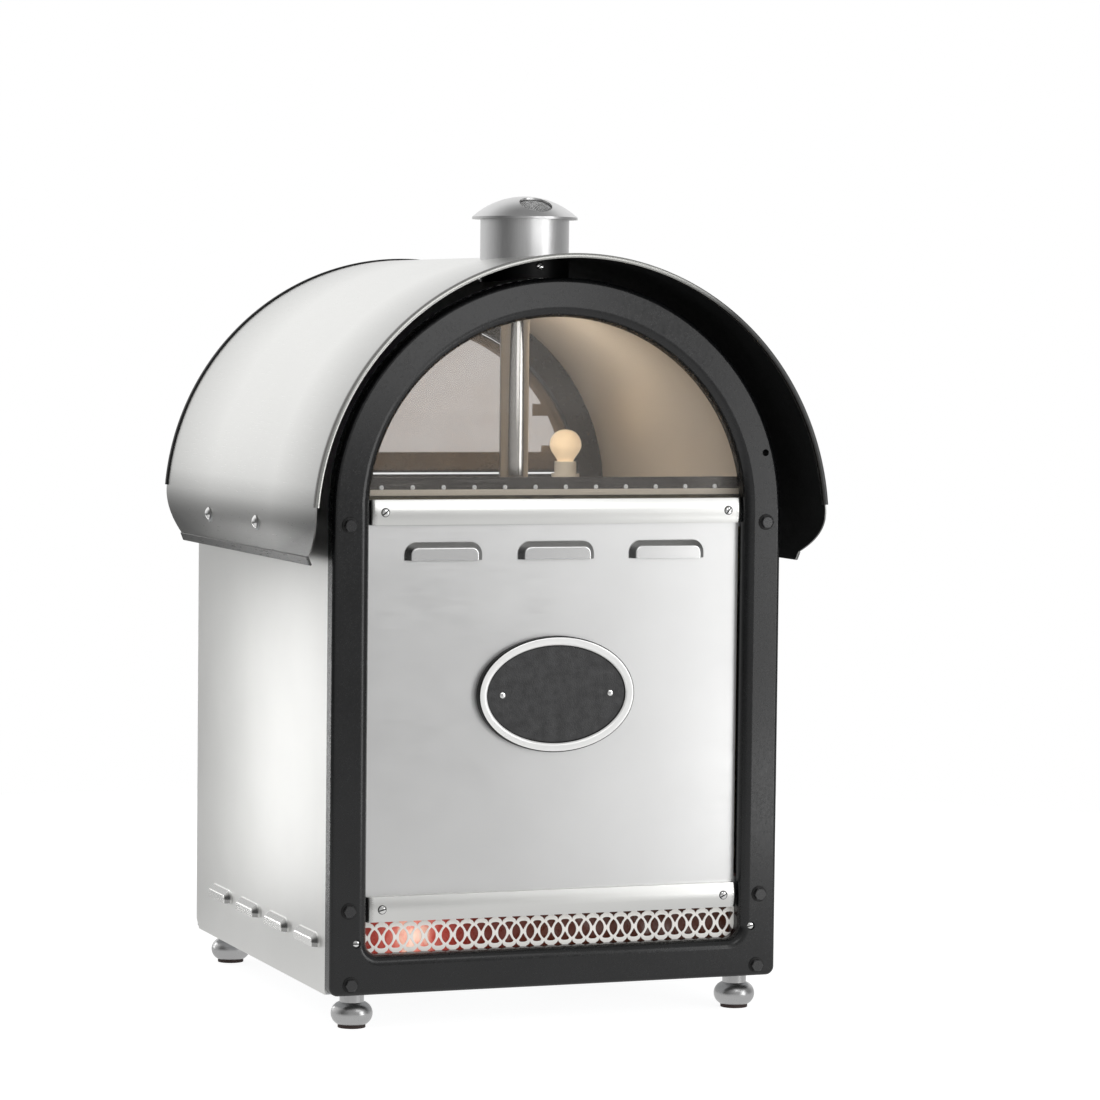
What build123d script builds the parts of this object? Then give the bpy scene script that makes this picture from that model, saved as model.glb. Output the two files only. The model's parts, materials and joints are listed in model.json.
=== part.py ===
from build123d import *
import math
import os

os.makedirs("parts", exist_ok=True)

# Counter-top potato baker with an arched display over an oven.
# X runs across, Y runs from front to back, Z is up, all in millimetres.
# Heights are written with up(), above the foot of the frame.
# Depths are written with back(), behind the front face of the frame.

# Shell
FRAME_WIDTH = 430.0
FRAME_BAND = 35.0
FRAME_DEPTH = 16.0
FRAME_OUTER_ROUND = 4.0
FRAME_INNER_ROUND = 9.0
FRAME_CORNER = 8.0
OPEN_CORNER = 12.0
SIDE_RISE = 430.0
ARCH_FLATTEN = 6.0
BODY_DEPTH = 418.0
REAR_FRAME_DEPTH = 14.0
FOOT_HEIGHT = 32.0
SHEET = 1.2
BASE_THICK = 2.0
SIDE_FLANGE = 28.0
SIDE_NOTCH = 9.0

# Clearances
FIT = 0.3
RUN = 0.06

HALF = FRAME_WIDTH / 2
ARCH_RISE = HALF - ARCH_FLATTEN
SKIN = HALF - SHEET
SKIN_RISE = ARCH_RISE - SHEET
OPEN_HALF = HALF - FRAME_BAND
OPEN_RISE = ARCH_RISE - FRAME_BAND

# Canopy and chimney, set round the body
CANOPY_GAP = 29.0
CANOPY_DROP = 15.0
CANOPY_SKIRT = 32.0
CANOPY_OVERHANG = 39.0
CANOPY_REAR = 19.0
FRONT_CORNER = [(0.0, 53.0), (6.0, 31.0), (19.0, 0.0)]
REAR_CORNER = [(0.0, 45.0), (13.0, 25.0), (31.0, 13.5), (60.0, 0.0)]
HEM_SETBACK = 0.8
HEM_HEIGHT = 7.5
TRIM_WIDTH = 6.0
TRIM_THICK = 2.4
TRIM_START = 21.0
CANOPY_RADIUS = HALF + CANOPY_GAP
CANOPY_CENTRE = SIDE_RISE - CANOPY_DROP
CANOPY_LIP = CANOPY_CENTRE - CANOPY_SKIRT
CANOPY_LENGTH = CANOPY_OVERHANG + FRAME_DEPTH + BODY_DEPTH + CANOPY_REAR
TRIM_END = CANOPY_CENTRE + TRIM_START
CHIMNEY_DEPTH = 104.5
CHIMNEY_RADIUS = 40.8
CHIMNEY_WALL = 1.5
CHIMNEY_RISE = 34.0
CHIMNEY_TOP = CANOPY_CENTRE + CANOPY_RADIUS + CHIMNEY_RISE
CAP_LIP = 7.7
CAP_RADIUS = CHIMNEY_RADIUS + CAP_LIP
CAP_RISE = 19.0
CAP_RIM = 2.0
CAP_WALL = 1.8
CAP_SPIGOT = 10.0
VENT_RADIUS = 15.0
VENT_OFFSET = 28.5
FLUE_RADIUS = 13.5
FLUE_SETBACK = 23.5
FLUE_DROP = 43.0
FLUE_DEPTH = CHIMNEY_DEPTH + FLUE_SETBACK

# Front infill
STRIP_HEIGHT = 22.5
STRIP_DEPTH = 8.8
STRIP_BOW = 1.6
STRIP_ROUND = 4.0
STRIP_TOP_DROP = 12.0
STRIP_TOP_FOOT = SIDE_RISE - STRIP_TOP_DROP
STRIP_LOW_FOOT = 64.0
STRIP_SCREW_INSET = 13.5
PANEL_PLAY = 1.5
PANEL_LAP = 2.5
PANEL_LOW_LAP = 7.0
PANEL_HALF = OPEN_HALF - PANEL_PLAY
PANEL_TOP = STRIP_TOP_FOOT + STRIP_HEIGHT - PANEL_LAP
PANEL_FOOT = STRIP_LOW_FOOT + PANEL_LOW_LAP
STRIP_SCREW_X = PANEL_HALF - STRIP_SCREW_INSET
RAIL_THICK = 3.0
RAIL_LAP = 4.0
GLASS_THICK = 4.0
GLASS_LAP = 16.0
SEAL_THICK = 2.0
PLATE_WIDTH = 150.0
PLATE_HEIGHT = 105.0
PLATE_RIM = 9.0
PLATE_THICK = 8.0
PLATE_HEIGHT_MID = 264.0
PLATE_RIVET_X = 52.0
LOUVRE_LENGTH = 74.0
LOUVRE_HEIGHT = 16.5
LOUVRE_LIFT = 6.0
LOUVRE_SLOPE = 42.0
LOUVRE_ROUND = 1.6
LOUVRE_CORNER = 11.5
LOUVRE_PITCH = 107.5
LOUVRE_DROP = 32.0
LOUVRE_FOOT = STRIP_TOP_FOOT - LOUVRE_DROP
SIDE_LOUVRE_LENGTH = 65.0
SIDE_LOUVRE_HEIGHT = 12.5
SIDE_LOUVRE_PITCH = 93.2
SIDE_LOUVRE_FOOT = 40.0
SIDE_LOUVRE_FIRST = 65.4

# Glow grille of interlaced rings
RING_PITCH = 13.5
RING_COUNT = round(2 * OPEN_HALF / RING_PITCH)
RING_HOLE = 0.8 * RING_PITCH
GRILLE_LAP = 16.0
GRILLE_HALF = OPEN_HALF + GRILLE_LAP
GRILLE_FOOT = FRAME_BAND - 11.0
GRILLE_TOP = STRIP_LOW_FOOT + 5.0
GRILLE_MID = (GRILLE_FOOT + GRILLE_TOP) / 2
GRILLE_THICK = 1.0

# Display chamber
DISPLAY_STEP = 13.0
DISPLAY_FLOOR = SIDE_RISE + DISPLAY_STEP
LIP_HEIGHT = 15.0
LIP_HOLE_PITCH = 29.3
LIP_HOLE_RADIUS = 2.0
LINER_GAP = 8.0

# Oven
OVEN_INSET = 20.0
OVEN_HALF = OPEN_HALF - OVEN_INSET
DECK_TOP = 90.0
WOOL_SIDE = 34.8
WOOL_FRONT = 30.0
WOOL_LOW = 30.0
WOOL_HIGH = 43.0
OVEN_FLOOR = DECK_TOP + WOOL_LOW
OVEN_ROOF = DISPLAY_FLOOR - WOOL_HIGH
OVEN_FRONT = 78.0
SHELF_GAP = 100.0
SHELF_LOW = 65.0
SHELF_HEIGHTS = (OVEN_FLOOR + SHELF_LOW, OVEN_FLOOR + SHELF_LOW + SHELF_GAP)
FAN_RADIUS = 60.0
SHAFT_RADIUS = 4.0
MOTOR_RADIUS = 32.0
ELEMENT_GAP = 28.0
ELEMENT_RADIUS = FAN_RADIUS + ELEMENT_GAP
ELEMENT_TUBE = 4.0

# Rear doors and controls
DOOR_GAP = 2.0
DOOR_STEP = 8.0
DOOR_FOOT = DECK_TOP + DOOR_STEP
DOOR_TOP = SIDE_RISE
CROSS_BAR = 16.0
DISPLAY_SILL = DOOR_TOP + CROSS_BAR
DOOR_PROUD = 7.0
PIN_INSET = 6.0
PIN_X = OPEN_HALF + PIN_INSET
PIN_PROUD = 6.0
PIN_RADIUS = 2.5
BARREL_RADIUS = 5.0
BARREL_LENGTH = 12.0
HANDLE_REACH = 42.0
HANDLE_SPAN = 150.0
HANDLE_RADIUS = 6.5
HANDLE_INSET = 30.0
KNOB_RADIUS = 21.0
KNOB_DEPTH = 19.0
CONTROL_TOP = DECK_TOP - 2.0

# Length that reaches past the whole object, for cuts that go right through
REACH = 4 * SIDE_RISE

Y_FACE = CANOPY_OVERHANG - (CANOPY_OVERHANG + FRAME_DEPTH + BODY_DEPTH + HANDLE_REACH) / 2


def up(height):
    return FOOT_HEIGHT + height


def back(depth):
    return Y_FACE + depth


Z_SPRING = up(SIDE_RISE)
Y_BACK = back(FRAME_DEPTH)
Y_REAR = Y_BACK + BODY_DEPTH
Y_REAR_IN = Y_REAR - REAR_FRAME_DEPTH
Y_PANEL = Y_BACK - SHEET
Y_STRIP = Y_PANEL - STRIP_DEPTH
Y_GLASS = Y_BACK + SEAL_THICK
Y_CHIMNEY = back(CHIMNEY_DEPTH)
Y_FLUE = back(FLUE_DEPTH)
Y_DOOR = Y_REAR + DOOR_PROUD
Y_PIN = Y_REAR + PIN_PROUD


def block(x0, x1, y0, y1, z0, z1):
    middle = Pos((x0 + x1) / 2, (y0 + y1) / 2, (z0 + z1) / 2)
    return middle * Box(x1 - x0, y1 - y0, z1 - z0)


def rod_x(radius, y, z, x0, x1):
    return Pos((x0 + x1) / 2, y, z) * Rot(0, 90, 0) * Cylinder(radius, x1 - x0)


def rod_y(radius, x, z, y0, y1):
    return Pos(x, (y0 + y1) / 2, z) * Rot(90, 0, 0) * Cylinder(radius, y1 - y0)


def rod_z(radius, x, y, z0, z1):
    return Pos(x, y, (z0 + z1) / 2) * Cylinder(radius, z1 - z0)


def wall(x, y, z):
    # Plane that faces the front, with its own Y pointing up
    return Plane(origin=(x, y, z), x_dir=(1, 0, 0), z_dir=(0, -1, 0))


def slab(sketch, y0, y1):
    # Give a front-view outline a depth from y0 to y1
    return extrude(wall(0, y1, 0) * sketch, amount=y1 - y0)


def arch(half, foot, rise):
    # Straight sides with an elliptical crown, drawn in front view
    lower = min(foot, Z_SPRING - 1)
    left = Line((-half, Z_SPRING), (-half, lower))
    sill = Line((-half, lower), (half, lower))
    right = Line((half, lower), (half, Z_SPRING))
    crown = EllipticalCenterArc((0, Z_SPRING), half, rise, start_angle=0, arc_size=180)
    shape = make_face([left, sill, right, crown])
    if foot > lower:
        cut = Pos(0, foot - REACH / 2) * Rectangle(REACH, REACH)
        shape = shape - cut
    return shape


def save(name, *shapes):
    solids = []
    for shape in shapes:
        solids.extend(shape.solids())
    export_step(Compound(solids), f"parts/{name}.step")


def mirror_x(shape):
    return mirror(shape, about=Plane.YZ)


def louvre(length, height):
    # Pressed louvre on the XY plane, bulging along +Z, open along its lower edge
    corner = min(LOUVRE_CORNER, 0.72 * height)
    shape = fillet(Rectangle(length, 2 * height).vertices(), corner)
    inner = Rectangle(length - 2 * SHEET, 2 * height - 2 * SHEET)
    inner = fillet(inner.vertices(), corner - SHEET)
    keep = Pos(0, height, 0) * Box(2 * length, 2 * height, 8 * LOUVRE_LIFT)
    skin = extrude(shape, amount=LOUVRE_LIFT, taper=LOUVRE_SLOPE)
    skin = fillet(skin.faces().sort_by(Axis.Z)[-1].edges(), LOUVRE_ROUND)
    hollow = extrude(inner, amount=LOUVRE_LIFT - SHEET, taper=LOUVRE_SLOPE)
    hollow = hollow + extrude(inner, amount=-SHEET)
    return skin & keep, hollow & keep


# Front frame: cast arch with rounded edges
outer = arch(HALF, up(0), ARCH_RISE)
outer = fillet(outer.vertices().group_by(Axis.Y)[0], FRAME_CORNER)
inner = arch(OPEN_HALF, up(FRAME_BAND), OPEN_RISE)
inner = fillet(inner.vertices().group_by(Axis.Y)[0], OPEN_CORNER)
frame = slab(outer - inner, Y_FACE, Y_BACK)
front_face = frame.faces().sort_by(Axis.Y)[0]
frame = fillet(front_face.outer_wire().edges(), FRAME_OUTER_ROUND)
front_face = frame.faces().sort_by(Axis.Y)[0]
frame = fillet(front_face.inner_wires()[0].edges(), FRAME_INNER_ROUND)

BOLT_SPOTS = [(HALF - 15, SIDE_RISE - 11.5), (HALF - 17, 76.0), (HALF - 19, 10.0)]
BOLT_HEAD = 5.8
BOLT_SHANK = 3.0
BOLT_RISE = 4.4
bolts = []
for side in (-1, 1):
    for spot_x, spot_z in BOLT_SPOTS:
        head = wall(side * spot_x, Y_FACE, up(spot_z)) * RegularPolygon(BOLT_HEAD, 6)
        bolt = extrude(head, amount=BOLT_RISE)
        shank_end = Y_BACK + SHEET + 3
        bolt = bolt + rod_y(BOLT_SHANK, side * spot_x, up(spot_z), Y_FACE, shank_end)
        frame = frame - rod_y(BOLT_SHANK + FIT, side * spot_x, up(spot_z), Y_FACE - 1, Y_BACK + 1)
        bolts.append(bolt)

SCREW_HEAD = 3.5
SCREW_SHANK = 1.75
FRAME_SCREW_X = OPEN_HALF + 10.6
FRAME_SCREW_RECESS = 2.5


def slotted_screw(x, y, z, length):
    screw = rod_y(SCREW_HEAD, x, z, y - 1.6, y) + rod_y(SCREW_SHANK, x, z, y, y + length)
    slot = block(x - 5, x + 5, y - 3, y - 0.9, z - 0.5, z + 0.5)
    return screw - slot


screws = []
for side in (-1, 1):
    spot_x = side * FRAME_SCREW_X
    seat = Y_FACE + FRAME_SCREW_RECESS
    frame = frame - rod_y(SCREW_HEAD + FIT, spot_x, up(GRILLE_MID), Y_FACE - 1, seat)
    frame = frame - rod_y(SCREW_SHANK + FIT, spot_x, up(GRILLE_MID), Y_FACE, Y_BACK + 1)
    screws.append(slotted_screw(spot_x, seat, up(GRILLE_MID), Y_BACK + 4 - seat))
# One spare hole on the right of the arch
SPARE_HOLE = 3.2
frame = frame - rod_y(SPARE_HOLE, HALF - 16.4, Z_SPRING + 52, Y_FACE - 1, Y_FACE + FRAME_DEPTH - 6)
save("front_frame", frame)
save("frame_bolts", *bolts)

# Side panels with a front flange and four louvres
side = block(SKIN, HALF, Y_BACK, Y_REAR, up(0), Z_SPRING)
side = side + block(HALF - SIDE_FLANGE, SKIN, Y_BACK, Y_BACK + SHEET, up(BASE_THICK), Z_SPRING)
flange_edge = HALF - SIDE_FLANGE - 1
side = side - block(flange_edge, SKIN, Y_BACK - 1, Y_BACK + 2, up(GRILLE_FOOT - 4), up(GRILLE_TOP + 1))
notch = Polyline((Y_REAR, up(0)), (Y_REAR, up(SIDE_NOTCH)), (Y_REAR - SIDE_NOTCH, up(0)), close=True)
notch = Plane.YZ * make_face(notch)
side = side - extrude(notch, amount=2 * HALF)
for spot_x, spot_z in BOLT_SPOTS:
    side = side - rod_y(BOLT_SHANK + FIT, spot_x, up(spot_z), Y_BACK - 1, Y_BACK + 3)
skin, hollow = louvre(SIDE_LOUVRE_LENGTH, SIDE_LOUVRE_HEIGHT)
for index in range(4):
    depth = SIDE_LOUVRE_FIRST + index * SIDE_LOUVRE_PITCH
    place = Plane(origin=(HALF, back(depth), up(SIDE_LOUVRE_FOOT)), x_dir=(0, 1, 0), z_dir=(1, 0, 0))
    side = side + place * skin
    side = side - place * hollow
SPACER_DEPTHS = (145.0, 300.0)
SPACER_RADIUS = 8.0
RIVET_SHANK = 2.4
for depth in SPACER_DEPTHS:
    side = side - rod_x(RIVET_SHANK + FIT, back(depth), up(CANOPY_CENTRE), SKIN - 1, HALF + 1)
save("side_panel_right", side)
save("side_panel_left", mirror_x(side))

# Roof skin and floor of the body
roof_outer = arch(HALF, Z_SPRING, ARCH_RISE)
roof_inner = arch(SKIN, Z_SPRING - 5, SKIN_RISE)
roof = slab(roof_outer - roof_inner, Y_BACK, Y_REAR)
flue_room = CHIMNEY_RADIUS - CHIMNEY_WALL - 1
roof = roof - rod_z(flue_room, 0, Y_CHIMNEY, Z_SPRING + ARCH_RISE / 2, up(REACH))
save("body_roof", roof)

base = block(-SKIN, SKIN, Y_BACK, Y_REAR - SIDE_NOTCH, up(0), up(BASE_THICK))
BASE_SLOT_LENGTH = 90.0
BASE_SLOT_WIDTH = 8.0
BASE_SLOT_PITCH = 40.0
for row in (-1, 1):
    for index in range(5):
        slot_x = row * BASE_SLOT_LENGTH
        slot_y = back(130) + index * BASE_SLOT_PITCH
        slot_end = slot_y + BASE_SLOT_WIDTH
        x0 = slot_x - BASE_SLOT_LENGTH / 2
        x1 = slot_x + BASE_SLOT_LENGTH / 2
        base = base - block(x0, x1, slot_y, slot_end, up(-1), up(BASE_THICK + 1))
save("base_plate", base)

# Feet and pads
FOOT_X = HALF - 29.0
FOOT_DEPTHS = (27.0, BODY_DEPTH - 5.0)
FOOT_NECK = 11.0
FOOT_BULB = 18.8
PAD_RADIUS = 13.0
PAD_HEIGHT = 3.0
neck_end = FOOT_HEIGHT - 9
bulb_mid = (neck_end + PAD_HEIGHT) / 2
stem = Polyline((0, PAD_HEIGHT), (0, FOOT_HEIGHT), (FOOT_NECK, FOOT_HEIGHT), (FOOT_NECK, neck_end))
bulb = ThreePointArc((FOOT_NECK, neck_end), (FOOT_BULB, bulb_mid), (PAD_RADIUS, PAD_HEIGHT))
sole = Line((PAD_RADIUS, PAD_HEIGHT), (0, PAD_HEIGHT))
foot = revolve(Plane.XZ * make_face([stem, bulb, sole]), axis=Axis.Z)
feet = []
pads = []
for foot_x in (-FOOT_X, FOOT_X):
    for depth in FOOT_DEPTHS:
        feet.append(Pos(foot_x, back(depth), 0) * foot)
        pads.append(rod_z(PAD_RADIUS - 0.5, foot_x, back(depth), 0, PAD_HEIGHT))
save("feet", *feet)
save("foot_pads", *pads)

# Canopy: barrel sheet with rounded lower corners and a hem
Z_CANOPY = up(CANOPY_CENTRE)
Y_CANOPY = back(-CANOPY_OVERHANG)
CANOPY_IN = CANOPY_RADIUS - SHEET
TRIM_LIP = 2.0


def ring(outer_radius, inner_radius, foot):
    # Arc of sheet in front view, round the canopy axis, kept above a height
    shape = Circle(outer_radius) - Circle(inner_radius)
    shape = Pos(0, Z_CANOPY) * shape
    return shape - Pos(0, foot - REACH / 2) * Rectangle(REACH, REACH)


sheet_start = Y_CANOPY + TRIM_LIP
sheet_end = Y_CANOPY + CANOPY_LENGTH - TRIM_LIP
canopy = slab(ring(CANOPY_RADIUS, CANOPY_IN, up(CANOPY_LIP)), sheet_start, sheet_end)
hem = ring(CANOPY_RADIUS + 1, CANOPY_IN, up(CANOPY_LIP))
hem = hem - Pos(0, up(CANOPY_LIP + HEM_HEIGHT) + REACH / 2) * Rectangle(REACH, REACH)
hem_start = sheet_start + HEM_SETBACK * FRONT_CORNER[-1][0]
hem_end = sheet_end - HEM_SETBACK * REAR_CORNER[-1][0]
canopy = canopy + slab(hem, hem_start, hem_end)


def corner_cut(points):
    # Bowed slant that takes the lower corner off the sheet, in side view, as (inset, rise) points
    corner = make_face(Spline(*points) + Polyline(points[-1], (0, 0), points[0]))
    return extrude(Plane.YZ * corner, amount=REACH, both=True)


canopy = canopy - Pos(0, sheet_start, up(CANOPY_LIP)) * corner_cut(FRONT_CORNER)
canopy = canopy - Pos(0, sheet_end, up(CANOPY_LIP)) * mirror(corner_cut(REAR_CORNER), about=Plane.XZ)
canopy = canopy - rod_z(CHIMNEY_RADIUS + FIT, 0, Y_CHIMNEY, Z_CANOPY, up(REACH))
for side_sign in (-1, 1):
    for depth in SPACER_DEPTHS:
        x0, x1 = sorted((side_sign * (CANOPY_RADIUS - 10), side_sign * (CANOPY_RADIUS + 10)))
        canopy = canopy - rod_x(RIVET_SHANK + FIT, back(depth), Z_CANOPY, x0, x1)
save("canopy", canopy)

trim = ring(CANOPY_RADIUS + TRIM_THICK, CANOPY_IN - TRIM_THICK, up(TRIM_END))
groove = slab(ring(CANOPY_RADIUS, CANOPY_IN, up(CANOPY_LIP)), sheet_start, sheet_end)
save("canopy_trim_front", slab(trim, Y_CANOPY, Y_CANOPY + TRIM_WIDTH) - groove)
trim_rear = Y_CANOPY + CANOPY_LENGTH
save("canopy_trim_rear", slab(trim, trim_rear - TRIM_WIDTH, trim_rear) - groove)

# Stand-offs between body and canopy, and the dome rivets through them
RIVET_HEAD = 5.9
barrel = Pos(0, 0, Z_CANOPY) * Rot(90, 0, 0) * Cylinder(CANOPY_IN, REACH)
dome = Pos(0, 0, -4.3) * Sphere(7.3) & Pos(0, 0, 3) * Box(20, 20, 6)
dome = dome & Cylinder(RIVET_HEAD, 20)
spacers = []
rivets = []
for side_sign in (-1, 1):
    for depth in SPACER_DEPTHS:
        spacer = rod_x(SPACER_RADIUS, back(depth), Z_CANOPY, HALF, CANOPY_RADIUS)
        spacer = spacer - rod_x(RIVET_SHANK + FIT, back(depth), Z_CANOPY, HALF - 1, CANOPY_RADIUS + 1)
        rivet = Pos(CANOPY_RADIUS, back(depth), Z_CANOPY) * Rot(0, 90, 0) * dome
        rivet = rivet + rod_x(RIVET_SHANK, back(depth), Z_CANOPY, SKIN - 2, CANOPY_RADIUS)
        spacer = spacer & barrel
        if side_sign < 0:
            spacer = mirror_x(spacer)
            rivet = mirror_x(rivet)
        spacers.append(spacer)
        rivets.append(rivet)
save("canopy_spacers", *spacers)
save("canopy_rivets", *rivets)

# Chimney: tube on the roof, domed cap with an off-centre vent, gauze under it
tube = rod_z(CHIMNEY_RADIUS, 0, Y_CHIMNEY, Z_SPRING + ARCH_RISE / 2, up(CHIMNEY_TOP))
tube = tube - rod_z(CHIMNEY_RADIUS - CHIMNEY_WALL, 0, Y_CHIMNEY, Z_SPRING, up(REACH))
tube = tube - slab(arch(HALF, Z_SPRING, ARCH_RISE), Y_BACK, Y_REAR)
save("chimney_tube", tube)

z_rim = up(CHIMNEY_TOP)
z_dome = z_rim + CAP_RIM
dome_radius = (CAP_RADIUS ** 2 + CAP_RISE ** 2) / (2 * CAP_RISE)
dome_centre = z_dome + CAP_RISE - dome_radius
cap_plan = rod_z(CAP_RADIUS, 0, 0, z_rim, z_dome + CAP_RISE)
ball = Pos(0, 0, dome_centre) * Sphere(dome_radius)
cap = cap_plan & ball
spigot = CHIMNEY_RADIUS - CHIMNEY_WALL - FIT
cap = cap + rod_z(spigot, 0, 0, z_rim - CAP_SPIGOT, z_dome)
core = rod_z(spigot - CAP_WALL, 0, 0, z_rim - CAP_SPIGOT - 1, z_dome + CAP_RISE)
core = core & Pos(0, 0, dome_centre) * Sphere(dome_radius - CAP_WALL)
cap = cap - core
cap = cap - rod_z(VENT_RADIUS, 0, -VENT_OFFSET, z_rim + 0.8, z_dome + 30)
save("chimney_cap", Pos(0, Y_CHIMNEY, 0) * cap)
gauze = Pos(0, 0, dome_centre) * (Sphere(dome_radius - CAP_WALL) - Sphere(dome_radius - CAP_WALL - 0.8))
gauze = gauze & rod_z(spigot - CAP_WALL - FIT, 0, 0, z_rim + 1.2, z_dome + CAP_RISE)
gauze_half = VENT_RADIUS + 4
gauze_end = gauze_half - VENT_OFFSET
gauze = gauze & block(-gauze_half, gauze_half, -CAP_RADIUS, gauze_end, z_rim, z_dome + CAP_RISE)
save("vent_gauze", Pos(0, Y_CHIMNEY, 0) * gauze)

# Flue pipe from the oven roof, through the display, into the chimney
flue_foot = up(OVEN_ROOF + SHEET)
flue_top = up(CHIMNEY_TOP - FLUE_DROP)
flue = rod_z(FLUE_RADIUS, 0, Y_FLUE, flue_foot, flue_top)
flue = flue - rod_z(FLUE_RADIUS - SHEET, 0, Y_FLUE, flue_foot - 1, flue_top + 1)
save("flue_pipe", flue)
flue_clear = rod_z(FLUE_RADIUS + FIT, 0, Y_FLUE, up(OVEN_ROOF), up(REACH))


def around_flue(half, y0, y1, z0, z1, room):
    # Four plain pieces laid round the flue, with a square well of half-width room between them
    left = block(-half, -room, y0, y1, z0, z1)
    front = block(-room, room, y0, Y_FLUE - room, z0, z1)
    rear = block(-room, room, Y_FLUE + room, y1, z0, z1)
    return [left, mirror_x(left), front, rear]


# Window glass on a seal behind the frame
rail_top = up(PANEL_TOP - 3)
glass_half = OPEN_HALF + GLASS_LAP
glass_rise = OPEN_RISE + GLASS_LAP
glass = slab(arch(glass_half, rail_top, glass_rise), Y_GLASS, Y_GLASS + GLASS_THICK)
save("window_glass", glass)
seal_ring = arch(glass_half, rail_top, glass_rise) - arch(OPEN_HALF + 2, up(PANEL_TOP), OPEN_RISE + 2)
save("window_seal", slab(seal_ring, Y_BACK, Y_GLASS))

# Front panel, its rails, strips and screws
panel = block(-PANEL_HALF, PANEL_HALF, Y_PANEL, Y_BACK, up(PANEL_FOOT), up(PANEL_TOP))
skin, hollow = louvre(LOUVRE_LENGTH, LOUVRE_HEIGHT)
for index in (-1, 0, 1):
    place = wall(index * LOUVRE_PITCH, Y_PANEL, up(LOUVRE_FOOT))
    panel = panel + place * skin
    panel = panel - place * hollow
rail_half = OPEN_HALF + 3
rail_low_top = up(STRIP_LOW_FOOT + STRIP_HEIGHT + RAIL_LAP)
top_rail = block(-rail_half, rail_half, Y_BACK, Y_BACK + RAIL_THICK, up(STRIP_TOP_FOOT - RAIL_LAP), rail_top)
low_rail = block(-rail_half, rail_half, Y_BACK, Y_BACK + RAIL_THICK, up(GRILLE_TOP + 0.5), rail_low_top)


def strip(foot):
    # Bar with a bowed face and rounded ends
    low = up(foot)
    top = up(foot + STRIP_HEIGHT)
    edge = Y_STRIP + STRIP_BOW
    bow = ThreePointArc((edge, low), (Y_STRIP, (low + top) / 2), (edge, top))
    outline = make_face(bow + Polyline((edge, top), (Y_PANEL, top), (Y_PANEL, low), (edge, low)))
    bar = extrude(Plane.YZ * outline, amount=PANEL_HALF, both=True)
    face = bar.faces().sort_by(Axis.Y)[0]
    ends = face.edges().sort_by(Axis.X)
    return fillet([ends[0], ends[-1]], STRIP_ROUND)


strip_top = strip(STRIP_TOP_FOOT)
strip_low = strip(STRIP_LOW_FOOT)
z_top_screw = up(STRIP_TOP_FOOT + STRIP_HEIGHT / 2)
z_low_screw = up(STRIP_LOW_FOOT + STRIP_HEIGHT / 2)
for side_sign in (-1, 1):
    for spot_z in (z_top_screw, z_low_screw):
        spot_x = side_sign * STRIP_SCREW_X
        hole = rod_y(SCREW_SHANK + FIT, spot_x, spot_z, Y_FACE - 20, Y_BACK + 10)
        strip_top = strip_top - hole
        strip_low = strip_low - hole
        panel = panel - hole
        top_rail = top_rail - hole
        low_rail = low_rail - hole
        screws.append(slotted_screw(spot_x, Y_STRIP, spot_z, Y_BACK + 6 - Y_STRIP))
save("slotted_screws", *screws)
save("panel_top_strip", strip_top)
save("panel_bottom_strip", strip_low)
save("panel_rails", top_rail, low_rail)

# Oval plate with a raised rim and a dark field, held by two rivets
plate_place = wall(0, Y_PANEL, up(PLATE_HEIGHT_MID))
full = Ellipse(PLATE_WIDTH / 2, PLATE_HEIGHT / 2)
field = Ellipse(PLATE_WIDTH / 2 - PLATE_RIM, PLATE_HEIGHT / 2 - PLATE_RIM)
plate = extrude(plate_place * full, amount=PLATE_THICK)
plate = fillet(plate.faces().sort_by(Axis.Y)[0].edges(), 1.6)
field_seat = Y_PANEL - 4
plate = plate - extrude(wall(0, field_seat, up(PLATE_HEIGHT_MID)) * field, amount=20)
inset = Ellipse(PLATE_WIDTH / 2 - PLATE_RIM - FIT, PLATE_HEIGHT / 2 - PLATE_RIM - FIT)
inlay = extrude(wall(0, field_seat, up(PLATE_HEIGHT_MID)) * inset, amount=1.2)
plate_rivets = []
for side_sign in (-1, 1):
    spot_x = side_sign * PLATE_RIVET_X
    hole = rod_y(1.5 + FIT, spot_x, up(PLATE_HEIGHT_MID), Y_PANEL - 20, Y_BACK + 1)
    plate = plate - hole
    inlay = inlay - hole
    panel = panel - hole
    rivet = rod_y(3, spot_x, up(PLATE_HEIGHT_MID), field_seat - 2.6, field_seat - 1.2)
    rivet = rivet + rod_y(1.5, spot_x, up(PLATE_HEIGHT_MID), field_seat - 1.2, Y_BACK + 2)
    plate_rivets.append(rivet)
save("oval_plate", plate)
save("oval_field", inlay)
save("plate_rivets", *plate_rivets)
save("front_panel", panel)


# Glow grille: one pierced sheet with a row of interlaced rings
def opening(points, x, flip):
    corners = []
    for point_x, point_z in points:
        corners.append(Vector(x + point_x, Y_BACK, up(GRILLE_MID + flip * point_z)))
    return Wire.make_polygon(corners, close=True)


def lens_points():
    tip = math.sqrt(RING_HOLE ** 2 - (RING_PITCH / 2) ** 2)
    points = []
    for share in (-1, -0.75, -0.4, 0, 0.4, 0.75, 1):
        height = share * tip
        width = math.sqrt(RING_HOLE ** 2 - height ** 2) - RING_PITCH / 2
        points.append((width, height))
    left = [(-width, height) for width, height in reversed(points[1:-1])]
    return points + left


# Half outlines of the other two openings, as shares of the pitch
FAN_SHARES = [(0.082, 0.27), (0.148, 0.43), (0.213, 0.54), (0.274, 0.635), (0.268, 0.71), (0.13, 0.79)]
NOTCH_SHARES = [(0.04, 0.889), (0.084, 0.963), (0.147, 1.037), (0.247, 1.111), (0.289, 1.3)]
FAN_FOOT = 0.107
NOTCH_FOOT = 0.763


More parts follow.
